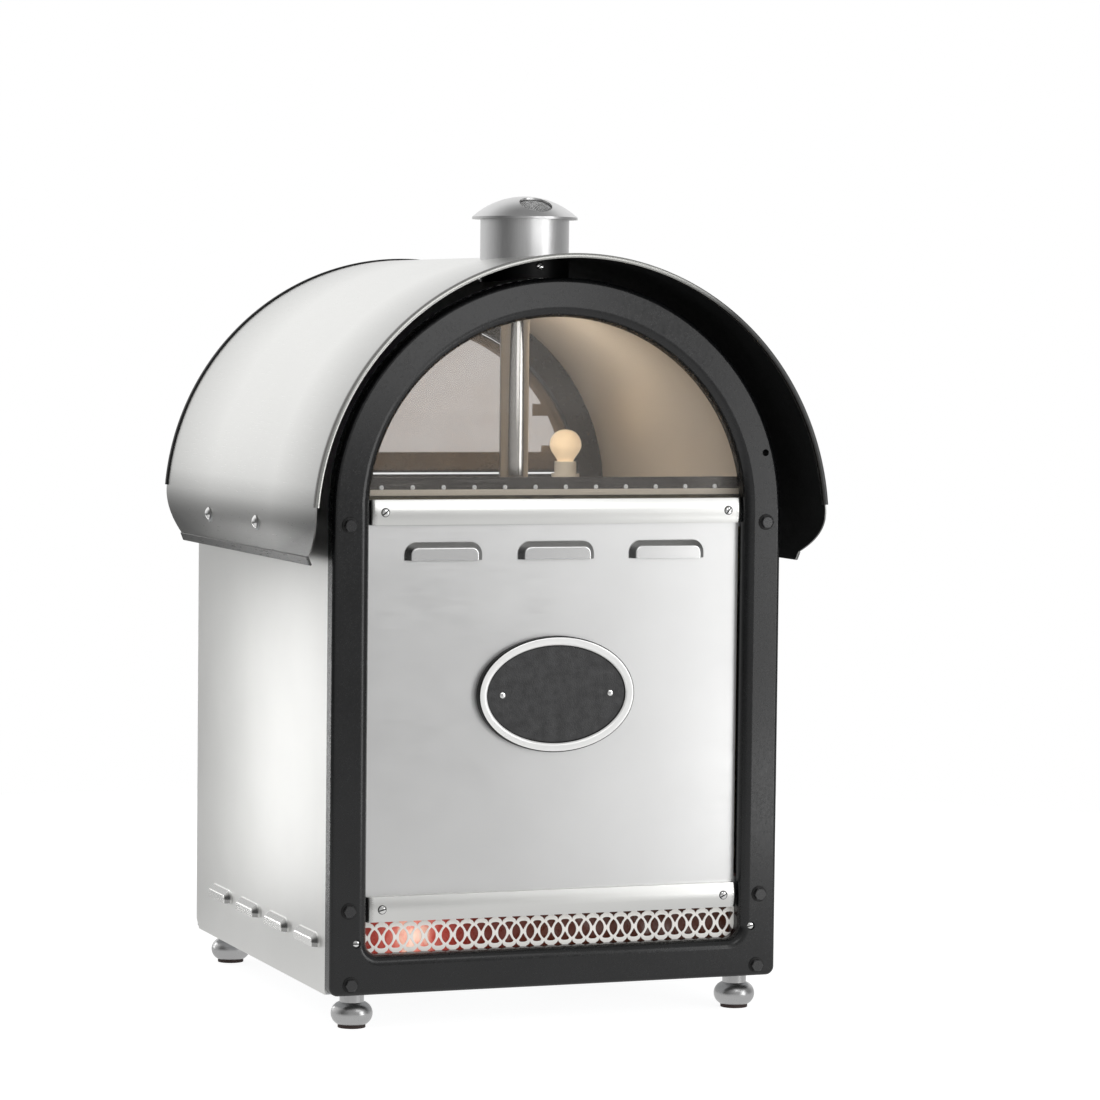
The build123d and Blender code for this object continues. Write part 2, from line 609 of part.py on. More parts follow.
def half_outline(foot, shares):
    right = [(x * RING_PITCH, z * RING_PITCH) for x, z in shares]
    left = [(-x, z) for x, z in reversed(right)]
    return [(0, foot * RING_PITCH)] + right + left


FAN_HOLE = half_outline(FAN_FOOT, FAN_SHARES)
NOTCH_HOLE = half_outline(NOTCH_FOOT, NOTCH_SHARES)
holes = []
lens = lens_points()
for index in range(RING_COUNT):
    ring_x = (index - (RING_COUNT - 1) / 2) * RING_PITCH
    for flip in (-1, 1):
        holes.append(opening(FAN_HOLE, ring_x, flip))
    if index < RING_COUNT - 1:
        gap_x = ring_x + RING_PITCH / 2
        holes.append(opening(lens, gap_x, 1))
        for flip in (-1, 1):
            holes.append(opening(NOTCH_HOLE, gap_x, flip))
g0 = Vector(-GRILLE_HALF, Y_BACK, up(GRILLE_FOOT))
g1 = Vector(GRILLE_HALF, Y_BACK, up(GRILLE_FOOT))
g2 = Vector(GRILLE_HALF, Y_BACK, up(GRILLE_TOP))
g3 = Vector(-GRILLE_HALF, Y_BACK, up(GRILLE_TOP))
grille_face = Face(Wire.make_polygon([g0, g1, g2, g3], close=True), holes)
grille = extrude(grille_face, amount=GRILLE_THICK, dir=(0, 1, 0))
for side_sign in (-1, 1):
    spot_x = side_sign * FRAME_SCREW_X
    grille = grille - rod_y(SCREW_SHANK + FIT, spot_x, up(GRILLE_MID), Y_BACK - 1, Y_BACK + 5)
save("glow_grille", grille)

# Red sheet and lamp behind the grille
z_base = up(BASE_THICK)
SCREEN_GAP = 12.0
SCREEN_THICK = 2.0
screen_y = Y_BACK + SCREEN_GAP
screen = block(-OPEN_HALF, OPEN_HALF, screen_y, screen_y + SCREEN_THICK, z_base, up(DECK_TOP - 6))
save("glow_screen", screen)
LAMP_RADIUS = 16.0
GLOW_LAMP_X = 40.0 - OPEN_HALF
GLOW_LAMP_Y = screen_y + SCREEN_THICK + 1.5 * LAMP_RADIUS + 8
LAMP_CAP = 9.0


def lamp_bulb(x, y, foot):
    bulb_ball = Pos(x, y, foot + 26) * Sphere(LAMP_RADIUS)
    neck = rod_z(LAMP_CAP - 1 - FIT, x, y, foot, foot + 20)
    return bulb_ball + neck


def lamp_holder(x, y, foot):
    holder = rod_z(LAMP_CAP + 5, x, y, foot, foot + 4)
    holder = holder + rod_z(LAMP_CAP + 2, x, y, foot + 4, foot + 16)
    return holder - rod_z(LAMP_CAP - 1, x, y, foot + 6, foot + 30)


DISPLAY_LAMP_X = OPEN_HALF - 30
DISPLAY_LAMP_Y = Y_REAR_IN - 35
z_floor = up(DISPLAY_FLOOR + SHEET)
save("glow_lamp", lamp_bulb(GLOW_LAMP_X, GLOW_LAMP_Y, z_base + 6))
save("display_lamp", lamp_bulb(DISPLAY_LAMP_X, DISPLAY_LAMP_Y, z_floor + 6))
holder_glow = lamp_holder(GLOW_LAMP_X, GLOW_LAMP_Y, z_base)
holder_display = lamp_holder(DISPLAY_LAMP_X, DISPLAY_LAMP_Y, z_floor)
save("lamp_holders", holder_glow, holder_display)

# Display tray with a pierced upstand, and the polished lining over it
LINER_HALF = SKIN - LINER_GAP
LINER_RISE = SKIN_RISE - LINER_GAP
TRAY_FRONT = back(30)
tray_start = TRAY_FRONT + SHEET
tray = block(-LINER_HALF, LINER_HALF, tray_start, Y_REAR_IN, up(DISPLAY_FLOOR), z_floor) - flue_clear
lip_half = OPEN_HALF + 10
lip = block(-lip_half, lip_half, TRAY_FRONT, tray_start, up(DISPLAY_FLOOR), z_floor + LIP_HEIGHT)
for index in range(12):
    hole_x = (index - 5.5) * LIP_HOLE_PITCH
    lip = lip - rod_y(LIP_HOLE_RADIUS, hole_x, z_floor + 6, TRAY_FRONT - 1, TRAY_FRONT + 5)
save("display_floor", tray, lip)
liner = arch(LINER_HALF, z_floor, LINER_RISE)
liner = liner - arch(LINER_HALF - SHEET, z_floor - 4, LINER_RISE - SHEET)
liner = slab(liner, Y_GLASS + GLASS_THICK + 1, Y_REAR_IN)
save("display_liner", liner - flue_clear)

# Oven box: welded sheets, with a roof in four pieces round the steam outlet, and a rear flange of four strips
OVEN_MID = (OVEN_FLOOR + OVEN_ROOF) / 2
oven_back = Y_REAR_IN
y_oven = back(OVEN_FRONT)
flange_half = OPEN_HALF + 10
box_half = OVEN_HALF + SHEET
box_back = oven_back - SHEET
z_oven = up(OVEN_FLOOR)
z_roof = up(OVEN_ROOF)
oven_floor = block(-box_half, box_half, y_oven - SHEET, box_back, z_oven - SHEET, z_oven)
steam_half = 0.7 * (FLUE_RADIUS - SHEET)
oven_roof = around_flue(box_half, y_oven - SHEET, box_back, z_roof, z_roof + SHEET, steam_half)
oven_side = block(OVEN_HALF, box_half, y_oven - SHEET, box_back, z_oven, z_roof)
oven_end = block(-OVEN_HALF, OVEN_HALF, y_oven - SHEET, y_oven, z_oven, z_roof)
oven_end = oven_end - rod_y(SHAFT_RADIUS + 2, 0, up(OVEN_MID), y_oven - 5, y_oven + 5)
TERMINAL_X = 20.0
for side_sign in (-1, 1):
    terminal = (side_sign * TERMINAL_X, up(OVEN_MID) - ELEMENT_RADIUS)
    oven_end = oven_end - rod_y(ELEMENT_TUBE + FIT, *terminal, y_oven - 5, y_oven + 5)
flange_low = up(DECK_TOP)
flange_high = up(DISPLAY_FLOOR - 1)
flange_side = block(OVEN_HALF, flange_half, box_back, oven_back, flange_low, flange_high)
flange_foot = block(-OVEN_HALF, OVEN_HALF, box_back, oven_back, flange_low, z_oven)
flange_head = block(-OVEN_HALF, OVEN_HALF, box_back, oven_back, z_roof, flange_high)
oven_sheets = [oven_floor, *oven_roof, oven_side, mirror_x(oven_side), oven_end]
flange_strips = [flange_side, mirror_x(flange_side), flange_foot, flange_head]
save("oven_liner", *oven_sheets, *flange_strips)

# Insulation slabs round the oven
wool_half = box_half + WOOL_SIDE
wool_front = y_oven - SHEET - WOOL_FRONT
wool_back = oven_back - SHEET
z_low = up(OVEN_FLOOR) - SHEET
z_high = up(OVEN_ROOF) + SHEET
wool_bottom = block(-wool_half, wool_half, wool_front, wool_back, up(DECK_TOP), z_low)
wool_top = around_flue(wool_half, wool_front, wool_back, z_high, up(DISPLAY_FLOOR), FLUE_RADIUS + FIT)
wool_right = block(OVEN_HALF + SHEET, wool_half, wool_front, wool_back, z_low, z_high)
wool_left = mirror_x(wool_right)
wool_end = block(
    -OVEN_HALF - SHEET, OVEN_HALF + SHEET, wool_front, back(OVEN_FRONT) - SHEET, z_low, z_high
)
wool_end = wool_end - rod_y(MOTOR_RADIUS + 20, 0, up(OVEN_MID), wool_front - 1, back(OVEN_FRONT))
for side_sign in (-1, 1):
    terminal = (side_sign * TERMINAL_X, up(OVEN_MID) - ELEMENT_RADIUS)
    wool_end = wool_end - rod_y(ELEMENT_TUBE + FIT, *terminal, wool_front - 1, back(OVEN_FRONT))
save("insulation", wool_bottom, *wool_top, wool_right, wool_left, wool_end)

# Deck that carries the oven on two side legs
deck = block(-wool_half, wool_half, wool_front, wool_back, up(DECK_TOP) - SHEET, up(DECK_TOP))
for side_sign in (-1, 1):
    x0, x1 = sorted((side_sign * wool_half, side_sign * (wool_half - SHEET)))
    deck = deck + block(x0, x1, wool_front, wool_back, z_base, up(DECK_TOP))
save("oven_deck", deck)

# Hot-air fan: motor, turning impeller, baffle, ring element
fan_z = up(OVEN_MID)
motor_back = y_oven - SHEET
motor = rod_y(MOTOR_RADIUS, 0, fan_z, motor_back - 46, motor_back)
motor = motor + rod_y(MOTOR_RADIUS + 16, 0, fan_z, motor_back - 3, motor_back)
motor = motor - rod_y(SHAFT_RADIUS + RUN, 0, fan_z, motor_back - 36, motor_back + 1)
save("fan_motor", motor)

FAN_START = y_oven + 6
FAN_DEPTH = 22.0
impeller = rod_y(SHAFT_RADIUS, 0, fan_z, motor_back - 35, FAN_START + FAN_DEPTH)
impeller = impeller + rod_y(12, 0, fan_z, FAN_START, FAN_START + FAN_DEPTH)
impeller = impeller + rod_y(FAN_RADIUS, 0, fan_z, FAN_START, FAN_START + 1.5)
for index in range(8):
    blade = block(30, FAN_RADIUS - 1, FAN_START + 1, FAN_START + FAN_DEPTH, -0.8, 0.8)
    impeller = impeller + Pos(0, 0, fan_z) * Rot(0, 45 * index, 0) * blade
save("fan_impeller", impeller)

BAFFLE_Y = y_oven + 40
baffle_half = OVEN_HALF - 20
baffle = block(-baffle_half, baffle_half, BAFFLE_Y, BAFFLE_Y + SHEET, up(OVEN_FLOOR + 15), up(OVEN_ROOF - 15))
baffle = baffle - rod_y(0.75 * FAN_RADIUS, 0, fan_z, BAFFLE_Y - 1, BAFFLE_Y + 5)
for post_x in (15 - baffle_half, baffle_half - 15):
    for post_z in (up(OVEN_FLOOR + 30), up(OVEN_ROOF - 30)):
        baffle = baffle + rod_y(4, post_x, post_z, y_oven, BAFFLE_Y + 0.5)
save("fan_baffle", baffle)

element_y = FAN_START + 11
gap_angle = math.degrees(math.asin(TERMINAL_X / ELEMENT_RADIUS))
ring_path = CenterArc((0, 0), ELEMENT_RADIUS, -90 + gap_angle, 360 - 2 * gap_angle)
ring_place = wall(0, element_y, fan_z)
ring_wire = ring_place * ring_path
element = sweep(Plane(ring_wire @ 0, z_dir=ring_wire % 0) * Circle(ELEMENT_TUBE), path=ring_wire)
drop = math.sqrt(ELEMENT_RADIUS ** 2 - TERMINAL_X ** 2)
for side_sign in (-1, 1):
    leg_x = side_sign * TERMINAL_X
    element = element + Pos(leg_x, element_y, fan_z - drop) * Sphere(ELEMENT_TUBE + 0.6)
    element = element + rod_y(ELEMENT_TUBE, leg_x, fan_z - ELEMENT_RADIUS, motor_back - 38, element_y)
    element = element + rod_y(7, leg_x, fan_z - ELEMENT_RADIUS, y_oven, y_oven + 3)
save("heating_element", element)

# Shelf runners and two bar shelves
runners = []
shelves = []
RUNNER_WIDTH = 10.0
SHELF_BAR_PITCH = (2 * OVEN_HALF - 20) / 12
SHELF_FRONT = BAFFLE_Y + 6
SHELF_BACK = oven_back - 12
for height in SHELF_HEIGHTS:
    z_run = up(height)
    runner = block(OVEN_HALF - RUNNER_WIDTH, OVEN_HALF, SHELF_FRONT, SHELF_BACK, z_run - 3, z_run)
    runners.append(runner)
    runners.append(mirror_x(runner))
    half = OVEN_HALF - 2
    shelf = block(-half, half, SHELF_FRONT + 2, SHELF_FRONT + 8, z_run, z_run + 6)
    shelf = shelf + block(-half, half, SHELF_BACK - 8, SHELF_BACK - 2, z_run, z_run + 6)
    for index in range(13):
        bar_x = (index - 6) * SHELF_BAR_PITCH
        shelf = shelf + block(bar_x - 2, bar_x + 2, SHELF_FRONT + 3, SHELF_BACK - 3, z_run + 2, z_run + 6)
    shelves.append(shelf)
save("shelf_runners", *runners)
save("oven_shelves", *shelves)

# Rear frame with a cross bar over and under the oven door
rear = arch(SKIN, up(BASE_THICK), SKIN_RISE)
rear = rear - arch(OPEN_HALF, up(DISPLAY_SILL), OPEN_RISE)
door_room = Rectangle(2 * OPEN_HALF, DOOR_TOP - DOOR_FOOT)
rear = rear - Pos(0, up((DOOR_TOP + DOOR_FOOT) / 2)) * fillet(door_room.vertices(), 4)
control_room = Rectangle(2 * OPEN_HALF, CONTROL_TOP - FRAME_BAND)
rear = rear - Pos(0, up((CONTROL_TOP + FRAME_BAND) / 2)) * fillet(control_room.vertices(), 6)
rear_frame = slab(rear, Y_REAR_IN, Y_REAR)
save("rear_frame", rear_frame)

# Rear controls
CONTROL_MID = (CONTROL_TOP + FRAME_BAND) / 2
z_control = up(CONTROL_MID)
THERMOSTAT_X = -60.0
TIMER_X = 20.0
ROCKER_X = 85.0
GLAND_X = OPEN_HALF - 40
PILOT_X = (40 - OPEN_HALF, 65 - OPEN_HALF)
SPINDLE = 3.0
panel_front = Y_REAR_IN - 1.5
control = block(-OPEN_HALF - 10, OPEN_HALF + 10, panel_front, Y_REAR_IN, up(6), up(DECK_TOP - SHEET - 0.5))
control_bodies = []
for knob_x in (THERMOSTAT_X, TIMER_X):
    control = control - rod_y(SPINDLE + 1, knob_x, z_control, panel_front - 1, Y_REAR_IN + 1)
    body = block(knob_x - 22, knob_x + 22, panel_front - 30, panel_front, z_control - 20, z_control + 20)
    body = body - rod_y(SPINDLE + RUN, knob_x, z_control, panel_front - 22, panel_front + 1)
    control_bodies.append(body)


def control_knob(x):
    knob_foot = Y_REAR_IN + 1
    knob = rod_y(KNOB_RADIUS, x, z_control, knob_foot, knob_foot + 5)
    knob = knob + rod_y(KNOB_RADIUS - 4, x, z_control, knob_foot, knob_foot + KNOB_DEPTH)
    top = knob.faces().sort_by(Axis.Y)[-1].edges()
    knob = chamfer(top, 1.5)
    pointer = block(x - 1.2, x + 1.2, knob_foot + 10, knob_foot + KNOB_DEPTH + 1.2, z_control, z_control + 16)
    knob = knob + pointer
    return knob + rod_y(SPINDLE, x, z_control, panel_front - 21, knob_foot + 2)


save("thermostat_knob", control_knob(THERMOSTAT_X))
save("timer_knob", control_knob(TIMER_X))

# Rocker switch: a rocker on two stub pins inside its housing
ROCKER_WIDTH = 20.0
ROCKER_RADIUS = 14.0
ROCKER_TILT = 12.0
rocker_y = panel_front - 6
drum = rod_x(ROCKER_RADIUS, rocker_y, z_control, ROCKER_X - ROCKER_WIDTH / 2, ROCKER_X + ROCKER_WIDTH / 2)
rocker_half = ROCKER_WIDTH / 2
lid = Pos(0, rocker_y, z_control) * Rot(ROCKER_TILT, 0, 0) * Pos(0, 29, 0) * Box(400, 40, 60)
rocker = drum - lid
flat_y = -0.43 * ROCKER_RADIUS
flat = block(-ROCKER_WIDTH, ROCKER_WIDTH, -2 * ROCKER_RADIUS, flat_y, -ROCKER_WIDTH, ROCKER_WIDTH)
rocker = rocker - Pos(ROCKER_X, rocker_y, z_control) * flat
rocker = rocker + rod_x(2, rocker_y, z_control, ROCKER_X - rocker_half - 2, ROCKER_X + rocker_half + 2)
housing_x = rocker_half + 4
housing = block(
    ROCKER_X - housing_x, ROCKER_X + housing_x, panel_front - 26, panel_front, z_control - 18, z_control + 18
)
pocket_half = rocker_half + 0.5
pocket = rod_x(ROCKER_RADIUS + 0.5, rocker_y, z_control, ROCKER_X - pocket_half, ROCKER_X + pocket_half)
housing = housing - pocket
stub_half = rocker_half + 2.5
housing = housing - rod_x(2 + RUN, rocker_y, z_control, ROCKER_X - stub_half, ROCKER_X + stub_half)
control_bodies.append(housing)
control = control - pocket
save("mains_rocker", rocker)
save("control_bodies", *control_bodies)

# Pilot lamps and cord gland
pilots = []
for pilot_x in PILOT_X:
    control = control - rod_y(5 + FIT, pilot_x, z_control, panel_front - 1, Y_REAR_IN + 1)
    pilot = rod_y(5, pilot_x, z_control, panel_front - 16, Y_REAR_IN + 4)
    pilot = pilot + rod_y(7, pilot_x, z_control, Y_REAR_IN, Y_REAR_IN + 2)
    pilots.append(pilot)
save("pilot_lamps", *pilots)
control = control - rod_y(8 + FIT, GLAND_X, z_control, panel_front - 1, Y_REAR_IN + 1)
nut_place = Plane(origin=(GLAND_X, Y_REAR_IN, z_control), z_dir=(0, 1, 0))
nut = extrude(nut_place * RegularPolygon(13, 6), amount=7)
gland = nut + rod_y(9.5, GLAND_X, z_control, Y_REAR_IN + 7, Y_REAR_IN + 16)
gland = gland + rod_y(8, GLAND_X, z_control, panel_front - 10, Y_REAR_IN + 1)
gland = gland - rod_y(4.5, GLAND_X, z_control, panel_front - 20, Y_REAR_IN + 30)
save("cable_gland", gland)
save("control_panel", control)

# Oven door: outer pan, inner liner, bar handle
door_half = OPEN_HALF - DOOR_GAP
door_foot = up(DOOR_FOOT + DOOR_GAP)
door_top = up(DOOR_TOP - DOOR_GAP)
liner_front = Y_REAR_IN + 1
liner_back = liner_front + 4
pan = block(-door_half, door_half, liner_back, Y_DOOR, door_foot, door_top)
pan = fillet(pan.faces().sort_by(Axis.Y)[-1].edges(), 3)
pan = pan - block(
    -door_half + SHEET, door_half - SHEET, liner_back - 1, Y_DOOR - SHEET, door_foot + SHEET, door_top - SHEET
)
save("oven_door_outer", pan)
liner_door = block(-door_half, door_half, liner_back - SHEET, liner_back, door_foot, door_top)
bulge = block(-door_half + 12, door_half - 12, liner_front, liner_back, door_foot + 12, door_top - 12)
save("oven_door_liner", liner_door + bulge)

HANDLE_X = HANDLE_INSET - OPEN_HALF
handle_z = up((DOOR_FOOT + DOOR_TOP) / 2)
handle_y = Y_REAR + HANDLE_REACH - HANDLE_RADIUS
handle = rod_z(HANDLE_RADIUS, HANDLE_X, handle_y, handle_z - HANDLE_SPAN / 2, handle_z + HANDLE_SPAN / 2)
for end in (-1, 1):
    post_z = handle_z + end * (HANDLE_SPAN / 2 - 14)
    handle = handle + rod_y(5, HANDLE_X, post_z, Y_DOOR, handle_y)
    handle = handle + rod_y(8, HANDLE_X, post_z, Y_DOOR, Y_DOOR + 3)
save("oven_door_handle", handle)

# Display door: arched ring, glass behind it, round knob
RING_BAND = 8.0
RING_SILL = 20.0
PANE_INSET = 3.0
ring_out = arch(door_half, up(DISPLAY_SILL + DOOR_GAP), OPEN_RISE - DOOR_GAP)
ring_foot = up(DISPLAY_SILL + DOOR_GAP + RING_SILL)
ring_in = arch(door_half - RING_BAND, ring_foot, OPEN_RISE - DOOR_GAP - RING_BAND)
door_ring = slab(ring_out - ring_in, liner_back, Y_DOOR)
save("display_door_frame", door_ring)
pane_foot = up(DISPLAY_SILL + DOOR_GAP + PANE_INSET)
pane = arch(door_half - PANE_INSET, pane_foot, OPEN_RISE - DOOR_GAP - PANE_INSET)
save("display_door_glass", slab(pane, liner_front, liner_back))
KNOB_X = HANDLE_X
knob_z = up(DISPLAY_SILL + DOOR_GAP + RING_SILL / 2)
knob = rod_y(5, KNOB_X, knob_z, Y_DOOR, Y_DOOR + 12)
grip = rod_y(11, KNOB_X, knob_z, Y_DOOR + 10, Y_DOOR + 24)
grip = chamfer(grip.faces().sort_by(Axis.Y)[-1].edges(), 3)
save("display_door_knob", knob + grip)


# Lift-off hinges: fixed half with its pin on the rear frame, upper half on the door
def hinge_halves(foot, reach):
    z0 = up(foot)
    z1 = z0 + BARREL_LENGTH
    z2 = z1 + FIT
    z3 = z2 + BARREL_LENGTH
    fixed = block(PIN_X, PIN_X + 11, Y_REAR, Y_PIN, z0, z1)
    fixed = fixed + rod_z(BARREL_RADIUS, PIN_X, Y_PIN, z0, z1)
    fixed = fixed + rod_z(PIN_RADIUS, PIN_X, Y_PIN, z0, z3)
    moving = block(PIN_X - reach, PIN_X, Y_DOOR, Y_DOOR + 2.5, z2, z3)
    moving = moving + rod_z(BARREL_RADIUS, PIN_X, Y_PIN, z2, z3)
    moving = moving - rod_z(PIN_RADIUS + RUN, PIN_X, Y_PIN, z2 - 1, z3 + 1)
    return fixed, moving


fixed_halves = []
oven_halves = []
for foot in (DOOR_FOOT + 40, DOOR_TOP - 70):
    fixed, moving = hinge_halves(foot, 40)
    fixed_halves.append(fixed)
    oven_halves.append(moving)
display_halves = []
for foot, reach in ((DISPLAY_SILL + 4, 40), (DISPLAY_SILL + 46, 50)):
    fixed, moving = hinge_halves(foot, reach)
    fixed_halves.append(fixed)
    display_halves.append(moving)
save("frame_hinges", *fixed_halves)
save("oven_door_hinges", *oven_halves)
save("display_door_hinges", *display_halves)

print("front face y", Y_FACE, "rear frame y", Y_REAR, "spring z", Z_SPRING)
print("pin", PIN_X, Y_PIN, "control z", z_control, "panel y", panel_front, "rocker y", rocker_y)
print("fan z", fan_z, "handle y", handle_y, "door face y", Y_DOOR)
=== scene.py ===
import json
import math

import bmesh
import bpy
from mathutils import Matrix, Vector, noise as field


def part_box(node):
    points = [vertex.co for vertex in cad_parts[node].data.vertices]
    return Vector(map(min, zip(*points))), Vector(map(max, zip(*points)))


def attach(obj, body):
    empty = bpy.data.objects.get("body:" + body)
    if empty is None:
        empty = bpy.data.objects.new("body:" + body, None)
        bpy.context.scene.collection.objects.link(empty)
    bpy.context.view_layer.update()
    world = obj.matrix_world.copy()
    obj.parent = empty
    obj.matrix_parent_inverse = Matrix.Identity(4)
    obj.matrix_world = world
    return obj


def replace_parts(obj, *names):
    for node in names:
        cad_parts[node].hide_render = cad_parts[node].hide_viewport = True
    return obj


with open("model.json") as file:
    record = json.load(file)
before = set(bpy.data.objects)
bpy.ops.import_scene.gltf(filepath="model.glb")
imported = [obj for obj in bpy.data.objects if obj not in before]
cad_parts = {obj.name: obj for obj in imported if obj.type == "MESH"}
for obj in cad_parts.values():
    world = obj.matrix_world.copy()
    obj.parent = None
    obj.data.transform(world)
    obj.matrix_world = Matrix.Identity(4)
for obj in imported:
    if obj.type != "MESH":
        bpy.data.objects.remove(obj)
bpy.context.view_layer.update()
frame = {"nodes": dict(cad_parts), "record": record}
nodes = frame["nodes"]
scene = bpy.context.scene

# Places in the part's frame, in millimetres, as in the solids
MM = 0.001
Y_FACE = -218.5
Y_BACK = -202.5
Y_PANEL = -203.7
Y_STRIP = -212.5
Y_CONTROL = 201.5
Z_PLATE = 296.0
Z_GRILLE = 78.5
Z_CONTROL = 93.5
CANOPY_Z = 447.0
CANOPY_R = 244.0
CANOPY_FRONT = -257.5
CANOPY_REAR = 234.5
CHIMNEY_Y = -114.0
HEM_TOP = 422.5
LIP_BACK = -186.8
BAND_TOP = 480.4

# Stretch of the grain along each way of brushing and round turned pieces, and the colour of steel
BRUSH_X = (0.02, 1.0, 1.0)
BRUSH_Y = (1.0, 0.03, 1.0)
BRUSH_Z = (1.0, 1.0, 0.03)
BRUSH_TURNED = (1.0, 1.0, 0.06)
STEEL = (0.82, 0.82, 0.80)

# Painted glow of the red film by distance from its lamp, as shares of the reach in metres
GLOW_X = -129.0
GLOW_REACH = 0.2
GLOW_STOPS = [
    (0.0, (1.2, 0.92, 0.76)),
    (0.04, (1.0, 0.60, 0.46)),
    (0.08, (0.66, 0.19, 0.15)),
    (0.14, (0.36, 0.045, 0.034)),
    (0.22, (0.17, 0.018, 0.013)),
    (0.34, (0.075, 0.011, 0.008)),
    (0.60, (0.038, 0.010, 0.006)),
    (1.0, (0.016, 0.008, 0.005)),
]


# Node helpers
def node(tree, kind, inputs=None, **settings):
    made = tree.nodes.new(kind)
    for key, value in settings.items():
        setattr(made, key, value)
    for key, value in (inputs or {}).items():
        if isinstance(value, bpy.types.NodeSocket):
            tree.links.new(value, made.inputs[key])
        else:
            made.inputs[key].default_value = value
    return made


def math_node(tree, operation, first, second=0.0):
    return node(tree, "ShaderNodeMath", {0: first, 1: second}, operation=operation).outputs[0]


def axes_of(tree, vector):
    return node(tree, "ShaderNodeSeparateXYZ", {"Vector": vector}).outputs


def length_of(tree, vector):
    return node(tree, "ShaderNodeVectorMath", {0: vector}, operation="LENGTH").outputs["Value"]


def rgba(color, gain=1.0):
    return (color[0] * gain, color[1] * gain, color[2] * gain, 1.0)


def blank_material(name):
    material = bpy.data.materials.new(name)
    material.use_nodes = True
    tree = material.node_tree
    tree.nodes.clear()
    return material, tree, node(tree, "ShaderNodeOutputMaterial")


def new_material(name):
    material, tree, out = blank_material(name)
    shader = node(tree, "ShaderNodeBsdfPrincipled")
    tree.links.new(shader.outputs["BSDF"], out.inputs["Surface"])
    return material, tree, shader


def noise(tree, vector, scale, detail=3.0, roughness=0.55):
    inputs = {"Vector": vector, "Scale": scale, "Detail": detail, "Roughness": roughness}
    return node(tree, "ShaderNodeTexNoise", inputs).outputs["Fac"]


def spread(tree, value, low, high, to_low, to_high):
    inputs = {"Value": value, "From Min": low, "From Max": high, "To Min": to_low, "To Max": to_high}
    return node(tree, "ShaderNodeMapRange", inputs).outputs["Result"]


def noise_range(tree, value, to_low, to_high):
    # Spread the range that most of a noise lies in
    return spread(tree, value, 0.3, 0.7, to_low, to_high)


def blend(tree, kind, factor, first, second):
    # Mix two colours ("RGBA") or two numbers ("FLOAT")
    made = node(tree, "ShaderNodeMix", data_type=kind)
    ports = (0, 6, 7, 2) if kind == "RGBA" else (0, 2, 3, 0)
    for port, value in zip(ports, (factor, first, second)):
        if isinstance(value, bpy.types.NodeSocket):
            tree.links.new(value, made.inputs[port])
        else:
            made.inputs[port].default_value = value
    return made.outputs[ports[3]]


def ramp(tree, value, stops):
    # Colour by value, from (position, colour) pairs
    made = node(tree, "ShaderNodeValToRGB", {"Fac": value})
    elements = made.color_ramp.elements
    while len(elements) < len(stops):
        elements.new(0.5)
    for element, (position, color) in zip(elements, stops):
        element.position = position
        element.color = rgba(color)
    return made.outputs["Color"]


def place_of(tree):
    return node(tree, "ShaderNodeTexCoord").outputs["Object"]


def stretched(tree, vector, scale):
    return node(tree, "ShaderNodeMapping", {"Vector": vector, "Scale": scale}).outputs["Vector"]


def surface(name, color, metallic=0.0, rough=0.4, swing=0.06, tone=0.06, tone_scale=14.0, grain=600.0,
            stretch=(1.0, 1.0, 1.0), bump=0.03, strength=0.4, specular=0.5, pressed=None):
    # Opaque finish: tone that drifts, fine grain in the gloss and a little relief (bump in millimetres);
    # pressed names an axis and the distances along it where the sheet starts to rise, has risen
    # and is level again, and paints shade on the rising flank and a highlight on the level crown
    material, tree, shader = new_material(name)
    place = place_of(tree)
    fine = noise(tree, stretched(tree, place, stretch), grain, 4.0, 0.6)
    drift = noise_range(tree, noise(tree, place, tone_scale), 0.0, 1.0)
    patches = noise(tree, place, 3.1 * tone_scale, 5.0, 0.65)
    worn = spread(tree, patches, 0.35, 0.75, -0.5 * swing, 0.5 * swing)
    tint = blend(tree, "RGBA", drift, rgba(color, 1 - tone), rgba(color, 1 + tone))
    gloss = math_node(tree, "ADD", noise_range(tree, fine, rough - swing, rough + swing), worn)
    if pressed:
        axis, start, risen, level = pressed
        reach = math_node(tree, "ABSOLUTE", axes_of(tree, place)[axis])
        rising = spread(tree, reach, start * MM, risen * MM, 0.0, 1.0)
        crowned = spread(tree, reach, (level - 0.9) * MM, (level - 0.2) * MM, 0.0, 1.0)
        # Painted shade on the rising flank and a painted highlight on the crown
        flank = blend(tree, "RGBA", rising, tint, rgba(color, 0.5))
        tint = blend(tree, "RGBA", crowned, flank, rgba(color, 1.16))
        gloss = blend(tree, "FLOAT", rising, gloss, 0.22)
    relief = node(tree, "ShaderNodeBump", {"Height": fine, "Strength": strength, "Distance": bump * MM})
    tree.links.new(tint, shader.inputs["Base Color"])
    tree.links.new(gloss, shader.inputs["Roughness"])
    tree.links.new(relief.outputs["Normal"], shader.inputs["Normal"])
    shader.inputs["Metallic"].default_value = metallic
    shader.inputs["Specular IOR Level"].default_value = specular
    return material


def pane(name, color, alpha, rough):
    # Glass sheet with an uneven film on it
    material, tree, shader = new_material(name)
    haze = noise_range(tree, noise(tree, place_of(tree), 9.0, 4.0, 0.6), 0.0, 1.0)
    tint = blend(tree, "RGBA", haze, rgba(color, 0.88), rgba(color, 1.12))
    tree.links.new(tint, shader.inputs["Base Color"])
    tree.links.new(spread(tree, haze, 0.0, 1.0, alpha * 0.9, alpha * 1.1), shader.inputs["Alpha"])
    tree.links.new(spread(tree, haze, 0.0, 1.0, rough * 0.7, rough * 1.3), shader.inputs["Roughness"])
    return material


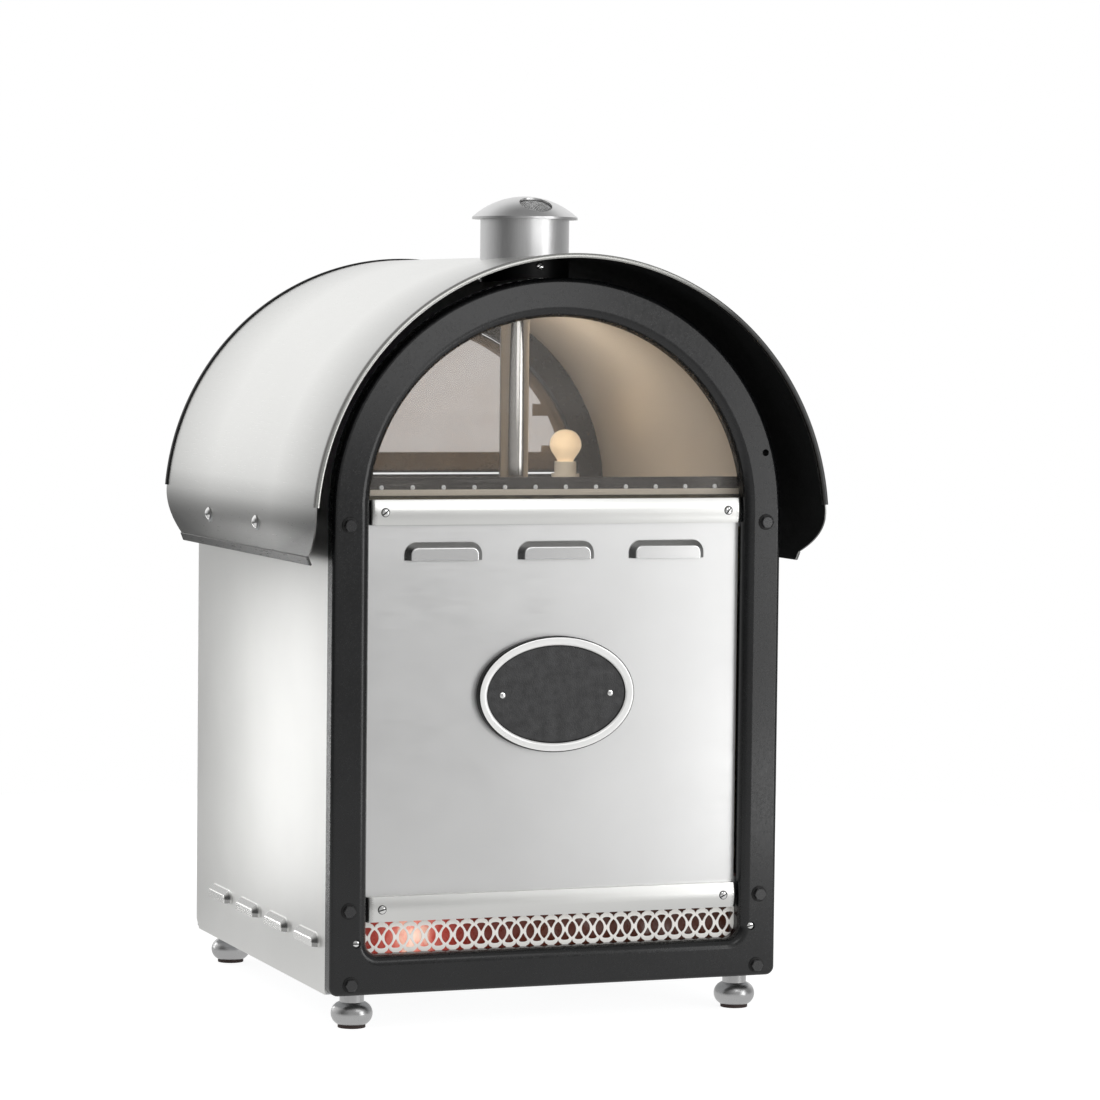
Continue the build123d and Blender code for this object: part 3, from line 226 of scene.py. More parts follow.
def lit(name, color, strength, drift_scale=60.0):
    # Glowing lamp glass, brighter in patches
    material, tree, shader = new_material(name)
    patch = noise(tree, place_of(tree), drift_scale)
    shader.inputs["Base Color"].default_value = rgba(color)
    shader.inputs["Roughness"].default_value = 0.2
    shader.inputs["Emission Color"].default_value = rgba(color)
    glow = noise_range(tree, patch, 0.8 * strength, 1.2 * strength)
    tree.links.new(glow, shader.inputs["Emission Strength"])
    return material


def canopy_finish():
    # Satin steel, with painted shade darkening it toward the two ends of the barrel and its foot, and
    # tone that drifts
    material, tree, shader = new_material("canopy_steel")
    place = place_of(tree)
    apart = axes_of(tree, place)
    fine = noise(tree, stretched(tree, place, BRUSH_Y), 1400.0, 4.0, 0.6)
    drift = noise_range(tree, noise(tree, place, 6.0), 0.0, 0.03)
    # Painted shade: the base colour darkens toward the front and rear ends and toward the foot
    toward_front = spread(tree, apart["Y"], -0.25, -0.12, 0.42, 0.0)
    toward_rear = spread(tree, apart["Y"], 0.08, 0.23, 0.0, 0.26)
    toward_foot = spread(tree, apart["Z"], 0.424, 0.485, 0.75, 0.0)
    ends = math_node(tree, "ADD", math_node(tree, "ADD", toward_front, toward_rear), drift)
    painted_shade_and_tone = math_node(tree, "MINIMUM", math_node(tree, "ADD", ends, toward_foot), 0.85)
    tint = blend(tree, "RGBA", painted_shade_and_tone, rgba(STEEL, 1.03), rgba(STEEL, 0.1))
    tree.links.new(tint, shader.inputs["Base Color"])
    tree.links.new(noise_range(tree, fine, 0.27, 0.33), shader.inputs["Roughness"])
    relief = node(tree, "ShaderNodeBump", {"Height": fine, "Strength": 0.12, "Distance": 0.02 * MM})
    tree.links.new(relief.outputs["Normal"], shader.inputs["Normal"])
    shader.inputs["Metallic"].default_value = 1.0
    return material


def flue_finish():
    # Satin tube, painted black where it runs on under the barrel of the canopy
    material, tree, shader = new_material("chimney_steel")
    place = place_of(tree)
    apart = axes_of(tree, place)
    height = math_node(tree, "SUBTRACT", apart["Z"], CANOPY_Z * MM)
    flat = node(tree, "ShaderNodeCombineXYZ", {"X": apart["X"], "Z": height}).outputs["Vector"]
    bare = math_node(tree, "GREATER_THAN", length_of(tree, flat), (CANOPY_R - 0.5) * MM)
    fine = noise(tree, stretched(tree, place, BRUSH_TURNED), 1200.0, 4.0, 0.6)
    streak = noise_range(tree, fine, 0.0, 1.0)
    steel = blend(tree, "RGBA", streak, rgba((0.74, 0.74, 0.74)), rgba((0.80, 0.80, 0.80)))
    tint = blend(tree, "RGBA", bare, rgba((0.006, 0.006, 0.006)), steel)
    tree.links.new(tint, shader.inputs["Base Color"])
    tree.links.new(bare, shader.inputs["Metallic"])
    tree.links.new(noise_range(tree, fine, 0.33, 0.39), shader.inputs["Roughness"])
    shader.inputs["Specular IOR Level"].default_value = 0.25
    return material


def trim_finish():
    # Bright bead with painted shade darkening it down its right arc
    material, tree, shader = new_material("trim_steel")
    across = axes_of(tree, place_of(tree))["X"]
    painted_shade_right = spread(tree, across, 0.07, 0.15, 0.0, 1.0)
    tint = blend(tree, "RGBA", painted_shade_right, rgba((0.48, 0.48, 0.46)), rgba((0.07, 0.07, 0.07)))
    tree.links.new(tint, shader.inputs["Base Color"])
    tree.links.new(spread(tree, painted_shade_right, 0.0, 1.0, 0.2, 0.34), shader.inputs["Roughness"])
    shader.inputs["Metallic"].default_value = 1.0
    return material


def tray_finish():
    # Polished tray whose upstand is darkened with painted shade, with a cream band along its foot
    material, tree, shader = new_material("tray_steel")
    place = place_of(tree)
    apart = axes_of(tree, place)
    fine = noise(tree, stretched(tree, place, BRUSH_X), 900.0, 4.0, 0.6)
    front = math_node(tree, "LESS_THAN", apart["Y"], LIP_BACK * MM)
    low = math_node(tree, "LESS_THAN", apart["Z"], BAND_TOP * MM)
    streak = noise_range(tree, fine, 0.0, 1.0)
    tray = blend(tree, "RGBA", streak, rgba((0.55, 0.52, 0.47)), rgba((0.66, 0.62, 0.56)))
    # Painted shade: near-black steel on the upstand
    shaded_stand = blend(tree, "RGBA", streak, rgba((0.04, 0.038, 0.036)), rgba((0.09, 0.085, 0.08)))
    band = blend(tree, "RGBA", streak, rgba((0.72, 0.64, 0.52)), rgba((0.80, 0.71, 0.58)))
    lip = blend(tree, "RGBA", low, shaded_stand, band)
    tree.links.new(blend(tree, "RGBA", front, tray, lip), shader.inputs["Base Color"])
    banded = math_node(tree, "MULTIPLY", front, low)
    tree.links.new(spread(tree, banded, 0.0, 1.0, 1.0, 0.0), shader.inputs["Metallic"])
    tree.links.new(noise_range(tree, fine, 0.16, 0.3), shader.inputs["Roughness"])
    return material


def glow_finish():
    # Crinkled red film, its backlight from the lamp at its left end painted as emission
    material, tree, shader = new_material("red_film")
    place = place_of(tree)
    core = (GLOW_X * MM, 0.0, Z_GRILLE * MM)
    away = node(tree, "ShaderNodeVectorMath", {0: place, 1: core}, operation="SUBTRACT")
    reach = length_of(tree, stretched(tree, away.outputs["Vector"], (1.0, 0.0, 0.8)))
    crease = noise(tree, stretched(tree, place, (1.0, 1.0, 0.6)), 90.0, 5.0, 0.65)
    uneven = math_node(tree, "ADD", reach, noise_range(tree, crease, -0.012, 0.012))
    glow = ramp(tree, spread(tree, uneven, 0.0, GLOW_REACH, 0.0, 1.0), GLOW_STOPS)
    tree.links.new(glow, shader.inputs["Emission Color"])
    tree.links.new(spread(tree, crease, 0.3, 0.72, 0.55, 1.25), shader.inputs["Emission Strength"])
    shader.inputs["Base Color"].default_value = (0.10, 0.022, 0.012, 1.0)
    tree.links.new(noise_range(tree, crease, 0.18, 0.4), shader.inputs["Roughness"])
    return material


# Finishes by material slot
finishes = {
    "black_cast": surface("cast_black", (0.0042, 0.0045, 0.005), rough=0.25, swing=0.05, tone=0.3,
                          tone_scale=22.0, grain=330.0, bump=0.08, strength=0.22, specular=0.6),
    "black_steel": surface("black_paint", (0.012, 0.012, 0.013), rough=0.26, grain=700.0, specular=0.8),
    # The pressed entries paint shade on louvre flanks and toward the strip ends, and highlights on
    # louvre crowns
    "stainless_sheet": surface("sheet_steel", STEEL, metallic=1.0, rough=0.31, swing=0.008, tone=0.03,
                               tone_scale=6.0, grain=1400.0, stretch=BRUSH_Z, bump=0.01, strength=0.02,
                               pressed=("X", 215.6, 216.4, 221.0)),
    "brushed_panel": surface("panel_steel", (0.76, 0.76, 0.755), metallic=1.0, rough=0.34, swing=0.04,
                             tone=0.03, tone_scale=8.0, grain=1400.0, stretch=BRUSH_X, bump=0.02,
                             strength=0.12, pressed=("Y", 204.0, 204.6, 209.7)),
    "bright_strip": surface("strip_steel", STEEL, metallic=1.0, rough=0.30, swing=0.012, tone=0.015,
                            grain=1400.0, stretch=BRUSH_X, bump=0.01, strength=0.03,
                            pressed=("X", 172.0, 178.5, 400.0)),
    "dark_edge": surface("edge_black", (0.005, 0.005, 0.005), rough=0.5),
    "bright_fixing": surface("bright_plating", (0.84, 0.84, 0.83), metallic=1.0, rough=0.16, swing=0.05,
                             tone=0.04),
    "satin_alloy": surface("satin_alloy", (0.70, 0.70, 0.70), metallic=1.0, rough=0.33, swing=0.03,
                           tone=0.04, grain=1200.0, stretch=BRUSH_TURNED, bump=0.01, strength=0.08),
    "polished_steel": surface("polished_steel", (0.72, 0.70, 0.67), metallic=1.0, rough=0.14, swing=0.03,
                              tone=0.05, tone_scale=10.0, grain=700.0, stretch=BRUSH_Z, bump=0.02,
                              strength=0.05),
    "black_field": surface("field_black", (0.03, 0.03, 0.031), rough=0.42, swing=0.12, tone=0.4,
                           tone_scale=110.0, grain=700.0, bump=0.4, strength=0.9),
    "cream_grille": surface("cream_enamel", (0.94, 0.92, 0.88), rough=0.35, tone=0.04, grain=500.0,
                            bump=0.05),
    "red_sheet": glow_finish(),
    "red_lamp": lit("glow_bulb", (1.0, 0.62, 0.38), 4.0),
    "warm_lamp": lit("warm_bulb", (1.0, 0.80, 0.55), 0.45),
    "lamp_base": surface("white_ceramic", (0.78, 0.77, 0.73), rough=0.28, tone=0.04, grain=300.0),
    "soft_rubber": surface("dark_rubber", (0.030, 0.014, 0.011), rough=0.65, grain=900.0, bump=0.08),
    "window_glass": pane("hazy_glass", (0.34, 0.32, 0.30), 0.12, 0.03),
    "door_glass": pane("smoky_glass", (0.34, 0.25, 0.17), 0.36, 0.06),
    "plain_steel": surface("zinc_steel", (0.6, 0.61, 0.62), metallic=1.0, rough=0.4, tone=0.12,
                           tone_scale=60.0),
    "oven_steel": surface("oven_steel", (0.6, 0.59, 0.57), metallic=1.0, rough=0.32, tone=0.1,
                          grain=900.0, stretch=BRUSH_Y),
    "shelf_wire": surface("plated_wire", (0.75, 0.75, 0.74), metallic=1.0, rough=0.2),
    "element_sheath": surface("dark_sheath", (0.08, 0.075, 0.07), metallic=0.6, rough=0.45, tone=0.3,
                              tone_scale=50.0),
    "mineral_wool": surface("mineral_wool", (0.5, 0.44, 0.3), rough=0.95, swing=0.03, tone=0.25,
                            tone_scale=70.0, grain=260.0, stretch=(0.25, 1.0, 1.0), bump=1.2,
                            strength=0.9),
    "motor_shell": surface("motor_shell", (0.45, 0.45, 0.46), metallic=1.0, rough=0.45, bump=0.1),
    "dark_gauze": surface("gauze_wire", (0.74, 0.74, 0.74), metallic=1.0, rough=0.3, tone=0.3,
                          tone_scale=200.0),
    "black_plastic": surface("black_plastic", (0.013, 0.013, 0.014), rough=0.42, grain=900.0, bump=0.04),
    "grey_plastic": surface("grey_plastic", (0.09, 0.09, 0.095), rough=0.5, bump=0.05),
    "switch_plastic": surface("switch_plastic", (0.012, 0.012, 0.012), rough=0.22, swing=0.04),
    "amber_lens": lit("amber_lens", (0.9, 0.30, 0.04), 0.25, 300.0),
}
edge_black = finishes["dark_edge"]
# Near-white, mostly diffuse alloy: painted reflection that keeps the oval rim and the eyelets bright
painted_glint_alloy = surface("painted_glint_alloy", (0.93, 0.93, 0.92), metallic=0.3, rough=0.2, swing=0.05, tone=0.03,
                    grain=900.0)
foot_alloy = surface("foot_alloy", (0.52, 0.52, 0.52), metallic=1.0, rough=0.3, swing=0.03, tone=0.05,
                     grain=1200.0, stretch=BRUSH_TURNED, bump=0.01, strength=0.08)
trim_steel = trim_finish()
white_mark = surface("white_mark", (0.78, 0.78, 0.76), rough=0.5, tone=0.05, grain=800.0)
for sub in frame["record"]["subparts"]:
    shown = nodes[sub["node"]]
    shown.data.materials.clear()
    shown.data.materials.append(finishes[sub["material_slot"]])
canopy_steel = canopy_finish()
canopy_paint = surface("canopy_paint", (0.0055, 0.0058, 0.006), rough=0.5, tone=0.3, grain=500.0,
                       specular=0.25)
# Dark steel for the folded hem along each foot: painted shade, much darker than the sheet
shaded_hem_steel = surface("shaded_hem_steel", (0.14, 0.14, 0.137), metallic=1.0, rough=0.32, tone=0.04, grain=1400.0,
                    stretch=BRUSH_Y, bump=0.01, strength=0.05)
# Dark steel for the flanks of the front bead: painted shade
shaded_trim_flank = surface("shaded_trim_flank", (0.12, 0.115, 0.11), metallic=1.0, rough=0.3, tone=0.1, grain=900.0)
nodes["chimney_tube"].data.materials[0] = flue_finish()
nodes["display_floor"].data.materials[0] = tray_finish()
nodes["display_liner"].data.materials[0] = surface(
    "liner_satin", (0.80, 0.74, 0.66), metallic=0.45, rough=0.42, swing=0.02, tone=0.03, tone_scale=9.0,
    grain=700.0, stretch=BRUSH_Y, bump=0.01, strength=0.03,
)
nodes["feet"].data.materials[0] = foot_alloy


# Piece helpers: local shapes are in millimetres, with local Z along the way they face
def facing(x, y, z, way):
    turns = {
        "front": Matrix(((1, 0, 0, 0), (0, 0, -1, 0), (0, 1, 0, 0), (0, 0, 0, 1))),
        "rear": Matrix(((-1, 0, 0, 0), (0, 0, 1, 0), (0, 1, 0, 0), (0, 0, 0, 1))),
        "up": Matrix.Identity(4),
    }
    return Matrix.Translation((x, y, z)) @ turns[way]


def circle(radius, height, steps):
    turns = [math.tau * step / steps for step in range(steps)]
    return [(radius * math.cos(turn), radius * math.sin(turn), height) for turn in turns]


class Shape:
    # Points and faces of one piece, gathered from simple parts
    def __init__(self):
        self.points = []
        self.faces = []
        self.marks = []

    def add(self, points, faces, place=None, mark=0):
        start = len(self.points)
        for point in points:
            point = Vector(point)
            self.points.append(place @ point if place else point)
        for face in faces:
            self.faces.append([start + corner for corner in face])
            self.marks.append(mark)

    def skin(self, rings, place=None, looped=False, caps=True, mark=0):
        # Skin through rings with equal numbers of points, open or looped along their row
        count = len(rings[0])
        points = [point for ring in rings for point in ring]
        faces = []
        rows = len(rings) if looped else len(rings) - 1
        for row in range(rows):
            low = row * count
            high = ((row + 1) % len(rings)) * count
            for step in range(count):
                after = (step + 1) % count
                faces.append((low + step, low + after, high + after, high + step))
        if caps and not looped:
            faces.append(tuple(reversed(range(count))))
            faces.append(tuple(range(len(points) - count, len(points))))
        self.add(points, faces, place, mark)

    def turned(self, profile, place, steps=40, mark=0):
        # Turn a profile of (radius, height) about local Z
        self.skin([circle(radius, height, steps) for radius, height in profile], place, mark=mark)

    def piece(self, name, slot, body="housing", sharp=35.0, extra=()):
        mesh = bpy.data.meshes.new(name)
        mesh.from_pydata([point * MM for point in self.points], [], self.faces)
        mesh.polygons.foreach_set("use_smooth", [True] * len(mesh.polygons))
        mesh.set_sharp_from_angle(angle=math.radians(sharp))
        made = dress(name, mesh, slot, body, extra)
        mesh.polygons.foreach_set("material_index", self.marks)
        return made


def dress(name, mesh, slot, body="housing", extra=()):
    mesh.materials.clear()
    for material in (finishes[slot], *extra):
        mesh.materials.append(material)
    piece = bpy.data.objects.new(name, mesh)
    scene.collection.objects.link(piece)
    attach(piece, body)
    return piece


def box_points(x0, x1, y0, y1, z0, z1):
    points = [(x, y, z) for z in (z0, z1) for y in (y0, y1) for x in (x0, x1)]
    faces = [(0, 2, 3, 1), (4, 5, 7, 6), (0, 1, 5, 4), (2, 6, 7, 3), (0, 4, 6, 2), (1, 3, 7, 5)]
    return points, faces


def settled_mesh(item):
    # Mesh of an object as its curve or its modifiers draw it
    bpy.context.view_layer.update()
    settled = item.evaluated_get(bpy.context.evaluated_depsgraph_get())
    return bpy.data.meshes.new_from_object(settled)


def carved(shape, cutter):
    # Take one closed shape away from another
    kept = []
    for part in (shape, cutter):
        mesh = bpy.data.meshes.new("carving")
        mesh.from_pydata(part.points, [], part.faces)
        kept.append(bpy.data.objects.new("carving", mesh))
        scene.collection.objects.link(kept[-1])
    cut = kept[0].modifiers.new("cut", "BOOLEAN")
    cut.operation = "DIFFERENCE"
    cut.solver = "EXACT"
    cut.object = kept[1]
    result = settled_mesh(kept[0])
    points = [tuple(vertex.co) for vertex in result.vertices]
    faces = [tuple(polygon.vertices) for polygon in result.polygons]
    for item in kept:
        bpy.data.objects.remove(item)
    return points, faces


def arc(x, z, radius, start, end, steps):
    points = []
    for step in range(steps + 1):
        angle = math.radians(start + (end - start) * step / steps)
        points.append((x + radius * math.cos(angle), z + radius * math.sin(angle)))
    return points


def flowing(points, steps=4):
    # Smooth closed outline through points, sharp only at the first one
    row = points + points[:1]
    drawn = []
    for index in range(len(points)):
        before, here, there = row[max(index - 1, 0)], row[index], row[index + 1]
        beyond = row[min(index + 2, len(row) - 1)]
        for step in range(steps):
            t = step / steps
            spot = []
            for a, b, c, d in zip(before, here, there, beyond):
                lean = 2 * a - 5 * b + 4 * c - d
                bend = 3 * b - a - 3 * c + d
                spot.append(b + 0.5 * t * (c - a + t * (lean + t * bend)))
            drawn.append(tuple(spot))
    return drawn


def pierced_sheet(name, outlines, y, thick, edge, slot):
    # Flat sheet in front view, from its outline and the outlines of its holes, with rounded edges
    data = bpy.data.curves.new(name, "CURVE")
    data.dimensions = "2D"
    data.fill_mode = "BOTH"
    data.extrude = thick / 2 - edge
    data.bevel_depth = edge
    data.offset = -edge
    data.bevel_resolution = 1
    for outline in outlines:
        spline = data.splines.new("POLY")
        spline.points.add(len(outline) - 1)
        for point, (x, z) in zip(spline.points, outline):
            point.co = (x, z, 0.0, 1.0)
        spline.use_cyclic_u = True
    drawn = bpy.data.objects.new(name, data)
    scene.collection.objects.link(drawn)
    mesh = settled_mesh(drawn)
    bpy.data.objects.remove(drawn)
    mesh.name = name
    mesh.transform(Matrix.Scale(MM, 4) @ facing(0.0, y + thick / 2, 0.0, "front"))
    mesh.polygons.foreach_set("use_smooth", [True] * len(mesh.polygons))
    mesh.set_sharp_from_angle(angle=math.radians(50))
    return dress(name, mesh, slot)


# Glow grille: interlaced rings with almond openings, rounded fans and scalloped caps
RING_PITCH = 13.5
RING_COUNT = 27
RING_HOLE = 0.80 * RING_PITCH
RING_SQUASH = 0.87
RING_LIFT = 2.1
FAN_FOOT = 0.135
FAN_SHARES = [(0.088, 0.29), (0.158, 0.44), (0.225, 0.55), (0.288, 0.65), (0.28, 0.735), (0.14, 0.81)]
NOTCH_FOOT = 0.80
NOTCH_SHARES = [(0.045, 0.92), (0.1, 1.0), (0.175, 1.07), (0.275, 1.14), (0.31, 1.36)]


def half_outline(foot, shares):
    # Closed outline from its lower tip and its right half, as shares of the pitch
    right = [(x * RING_PITCH, z * RING_PITCH) for x, z in shares]
    left = [(-x, z) for x, z in reversed(right)]
    return flowing([(0.0, foot * RING_PITCH)] + right + left)


half_pitch = RING_PITCH / 2
tip = math.degrees(math.acos(half_pitch / RING_HOLE))
almond_right = arc(-half_pitch, 0.0, RING_HOLE, -tip, tip, 12)[:-1]
almond_left = arc(half_pitch, 0.0, RING_HOLE, 180 - tip, 180 + tip, 12)[:-1]
almond = almond_right + almond_left
fan = half_outline(FAN_FOOT, FAN_SHARES)
notch = half_outline(NOTCH_FOOT, NOTCH_SHARES)
GRILLE_HALF = 196.0
GRILLE_FOOT = 56.0
GRILLE_TOP = 101.0
GRILLE_THICK = 1.0
GRILLE_EDGE = 0.16
outlines = [[
    (-GRILLE_HALF, GRILLE_FOOT), (GRILLE_HALF, GRILLE_FOOT),
    (GRILLE_HALF, GRILLE_TOP), (-GRILLE_HALF, GRILLE_TOP),
]]


def opening(points, x, flip):
    middle = Z_GRILLE + RING_LIFT
    return [(x + point_x, middle + flip * RING_SQUASH * point_z) for point_x, point_z in points]


for index in range(RING_COUNT):
    ring_x = (index - (RING_COUNT - 1) / 2) * RING_PITCH
    outlines += [opening(fan, ring_x, 1), opening(fan, ring_x, -1)]
    if index < RING_COUNT - 1:
        gap_x = ring_x + half_pitch
        outlines += [opening(almond, gap_x, 1), opening(notch, gap_x, 1), opening(notch, gap_x, -1)]
grille = pierced_sheet("ring_grille", outlines, Y_BACK, GRILLE_THICK, GRILLE_EDGE, "cream_grille")
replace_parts(grille, "glow_grille")

# Red film behind the grille, creased, as a thin closed sheet
film = Shape()
FILM_X = 91
FILM_Z = 22
FILM_HALF = 0.3
FILM_CREASE = 2.2
low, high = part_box("glow_screen")
low, high = low / MM, high / MM
sheet_points = []
for offset in (-FILM_HALF, FILM_HALF):
    for row in range(FILM_Z):
        for column in range(FILM_X):
            x = low.x + (high.x - low.x) * column / (FILM_X - 1)
            z = low.z + (high.z - low.z) * row / (FILM_Z - 1)
            crease = field.noise(Vector((x / 17, z / 23, 0.0)))
            crease += 0.6 * abs(field.noise(Vector((x / 7, z / 9, 4.0))))
            y = (low.y + high.y) / 2 + FILM_CREASE * crease + offset
            sheet_points.append((x, y, z))
sheet_faces = []
size = FILM_X * FILM_Z
for row in range(FILM_Z - 1):
    for column in range(FILM_X - 1):
        first = row * FILM_X + column
        quad = (first, first + 1, first + FILM_X + 1, first + FILM_X)
        sheet_faces.append(quad)
        sheet_faces.append(tuple(size + corner for corner in reversed(quad)))
film_rim = list(range(FILM_X))
film_rim += [row * FILM_X + FILM_X - 1 for row in range(1, FILM_Z)]
film_rim += [(FILM_Z - 1) * FILM_X + column for column in range(FILM_X - 2, -1, -1)]
film_rim += [row * FILM_X for row in range(FILM_Z - 2, 0, -1)]
for here, there in zip(film_rim, film_rim[1:] + film_rim[:1]):
    sheet_faces.append((there, here, size + here, size + there))
film.add(sheet_points, sheet_faces)
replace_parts(film.piece("red_film", "red_sheet", sharp=60), "glow_screen")

# Hex bolts on round collars, on the face of the frame
BOLT_SPOTS = [(200.0, 450.5), (198.0, 108.0), (196.0, 42.0)]
HEX_RADIUS = 5.8
HEX_SEAT = 0.9
HEX_SHOULDER = 4.3
HEX_TOP = 4.4
HEX_STEPS = 48
COLLAR = [(3.0, 1.0), (5.0, 1.0), (6.9, 0.9), (7.3, 0.5), (7.3, -0.2)]
BOLT_SHANK = [(3.0, -20.2), (3.0, 0.9)]
bolts = Shape()
apothem = HEX_RADIUS * math.cos(math.pi / 6)
for side in (-1, 1):
    for spot_x, spot_z in BOLT_SPOTS:
        spot = facing(side * spot_x, Y_FACE, spot_z, "front") @ Matrix.Rotation(0.3 * spot_z, 4, "Z")
        bolts.turned(COLLAR, spot, mark=1)
        base, shoulder, crown, top = [], [], [], []
        for step in range(HEX_STEPS):
            angle = math.tau * step / HEX_STEPS
            reach = apothem / math.cos((angle % (math.pi / 3)) - math.pi / 6)
            way = Vector((math.cos(angle), math.sin(angle), 0.0))
            base.append(way * reach + Vector((0, 0, HEX_SEAT)))
            shoulder.append(way * reach + Vector((0, 0, HEX_SHOULDER - 0.9 * (reach - 0.96 * apothem))))
            crown.append(way * 0.93 * apothem + Vector((0, 0, HEX_TOP)))
            top.append(way * 0.5 * apothem + Vector((0, 0, HEX_TOP)))
        bolts.skin([base, shoulder, crown, top], spot)
        bolts.turned(BOLT_SHANK, spot, steps=20)
bolt_piece = bolts.piece("hex_bolts", "black_steel", sharp=25, extra=[edge_black])
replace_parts(bolt_piece, "frame_bolts")

# Slotted screws with domed heads
HEAD = [(3.5, 0.0), (3.5, 0.7), (3.3, 1.05), (2.6, 1.4), (1.5, 1.62), (0.4, 1.7)]
SLOT_BOX = (-5.0, 5.0, -0.6, 0.6, 0.55, 3.0)
COUNTERSINK = [(3.2, 0.1), (4.1, 0.1), (4.1, -0.3)]
SCREW_RADIUS = 1.75
head = Shape()
head.turned(HEAD, Matrix.Identity(4), 36)
slot_cut = Shape()
slot_cut.add(*box_points(*SLOT_BOX))
head_points, head_faces = carved(head, slot_cut)


def screw_head(shape, spot, length):
    # Bright domed head with the floor of its slot painted dark as shade, in a dark countersink, on its
    # shank
    for face in head_faces:
        corners = [Vector(head_points[index]) for index in face]
        floor_face = all(0.4 < corner.z < 0.7 and abs(corner.y) < 0.7 for corner in corners)
        shape.add(corners, [list(range(len(corners)))], spot, mark=1 if floor_face else 0)
    shape.turned(COUNTERSINK, spot, steps=32, mark=1)
    shape.turned([(SCREW_RADIUS, -length), (SCREW_RADIUS, 0.0)], spot, steps=16)


SCREW_SPOTS = [
    (190.6, Y_FACE + 2.5, 78.5, 16.0),
    (165.0, Y_STRIP, 461.25, 14.0),
    (165.0, Y_STRIP, 107.25, 14.0),
]
screws = Shape()
for side in (-1, 1):
    for spot_x, spot_y, spot_z, length in SCREW_SPOTS:
        turn = Matrix.Rotation(0.9 + 1.7 * side + 0.01 * spot_z, 4, "Z")
        spot = facing(side * spot_x, spot_y, spot_z, "front") @ turn
        screw_head(screws, spot, length)
screw_piece = screws.piece("slotted_heads", "bright_fixing", sharp=30, extra=[edge_black])
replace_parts(screw_piece, "slotted_screws")

# Pressed eyelets in the lip of the tray, and the screw at the foot of the chimney
LIP_FRONT = -188.5
EYELET = [
    (0.4, -1.0), (1.85, -1.0), (1.85, 0.0), (2.2, 0.0), (2.2, 0.2), (1.8, 0.65), (1.2, 0.85),
    (0.7, 0.75), (0.4, 0.3),
]
EYELET_COUNT = 12
EYELET_PITCH = 29.3
EYELET_Z = 482.2
eyelets = Shape()
for index in range(EYELET_COUNT):
    eyelet_x = (index - (EYELET_COUNT - 1) / 2) * EYELET_PITCH
    rings = [circle(radius, height, 24) for radius, height in EYELET]
    eyelets.skin(rings, facing(eyelet_x, LIP_FRONT, EYELET_Z, "front"), looped=True)
eyelets.piece("lip_eyelets", "bright_fixing").data.materials[0] = painted_glint_alloy
CHIMNEY_FRONT = CHIMNEY_Y - 40.6
CHIMNEY_SCREW_Z = 682.0
chimney_screw = Shape()
spot = facing(0.0, CHIMNEY_FRONT, CHIMNEY_SCREW_Z, "front") @ Matrix.Rotation(0.6, 4, "Z")
screw_head(chimney_screw, spot, 5.0)
chimney_screw.piece("chimney_screw", "bright_fixing", sharp=30, extra=[edge_black])

# Oval plate: flat bright rim round a bare field, with two small rivets
PLATE_A = 75.0
PLATE_B = 52.5
RIM_PROFILE = [
    (0.0, 0.0), (0.0, 6.6), (0.3, 7.4), (1.0, 7.9), (2.2, 8.0), (5.6, 7.9), (7.0, 7.7), (7.6, 7.2),
    (8.1, 6.2), (8.7, 5.5), (9.2, 5.2), (9.2, 4.0),
]
RIM_BRIGHT = (3, 8)
RIM_STEPS = 160
BACK_SHARE = 0.9
BACK_RISE = 4.0
PIN_X = 52.0
PIN = [(1.5, -3.0), (1.5, 5.0), (3.0, 5.1), (3.0, 5.6), (2.6, 6.2), (1.6, 6.55), (0.4, 6.6)]
plate_spot = facing(0.0, Y_PANEL, Z_PLATE, "front")
rim_rings = []
back_plate = []
for step in range(RIM_STEPS):
    angle = math.tau * step / RIM_STEPS
    edge = Vector((PLATE_A * math.cos(angle), PLATE_B * math.sin(angle), 0.0))
    inward = -Vector((math.cos(angle) / PLATE_A, math.sin(angle) / PLATE_B, 0.0)).normalized()
    rim_rings.append([edge + inward * inset + Vector((0, 0, rise)) for inset, rise in RIM_PROFILE])
    back_plate.append(BACK_SHARE * edge)
plate = Shape()
plate.skin(rim_rings, plate_spot, looped=True)
for index in range(len(plate.faces)):
    step = index % len(RIM_PROFILE)
    plate.marks[index] = 0 if RIM_BRIGHT[0] <= step < RIM_BRIGHT[1] else 1
plate.skin([back_plate, [point + Vector((0, 0, BACK_RISE)) for point in back_plate]], plate_spot)
plate_piece = plate.piece("oval_rim", "polished_steel", sharp=40, extra=[edge_black])
plate_piece.data.materials[0] = painted_glint_alloy
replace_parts(plate_piece, "oval_plate")
rivets = Shape()
for side in (-1, 1):
    rivets.turned(PIN, facing(side * PIN_X, Y_PANEL, Z_PLATE, "front"), 28)
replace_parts(rivets.piece("plate_pins", "bright_fixing"), "plate_rivets")

# Edge beads on the two arcs of the canopy
SHEET_EDGE = 1.2
BEAD_LIFT = 21.0
BEAD_STEPS = 128
BEAD = [
    (-2.2, 1.0), (-1.9, 0.3), (-1.3, 0.0), (1.3, 0.0), (1.9, 0.3), (2.2, 1.0), (2.2, 5.5),
    (1.9, 6.0), (0.6, 6.0), (0.6, 3.0), (-0.6, 3.0), (-0.6, 6.0), (-1.9, 6.0), (-2.2, 5.5),
]


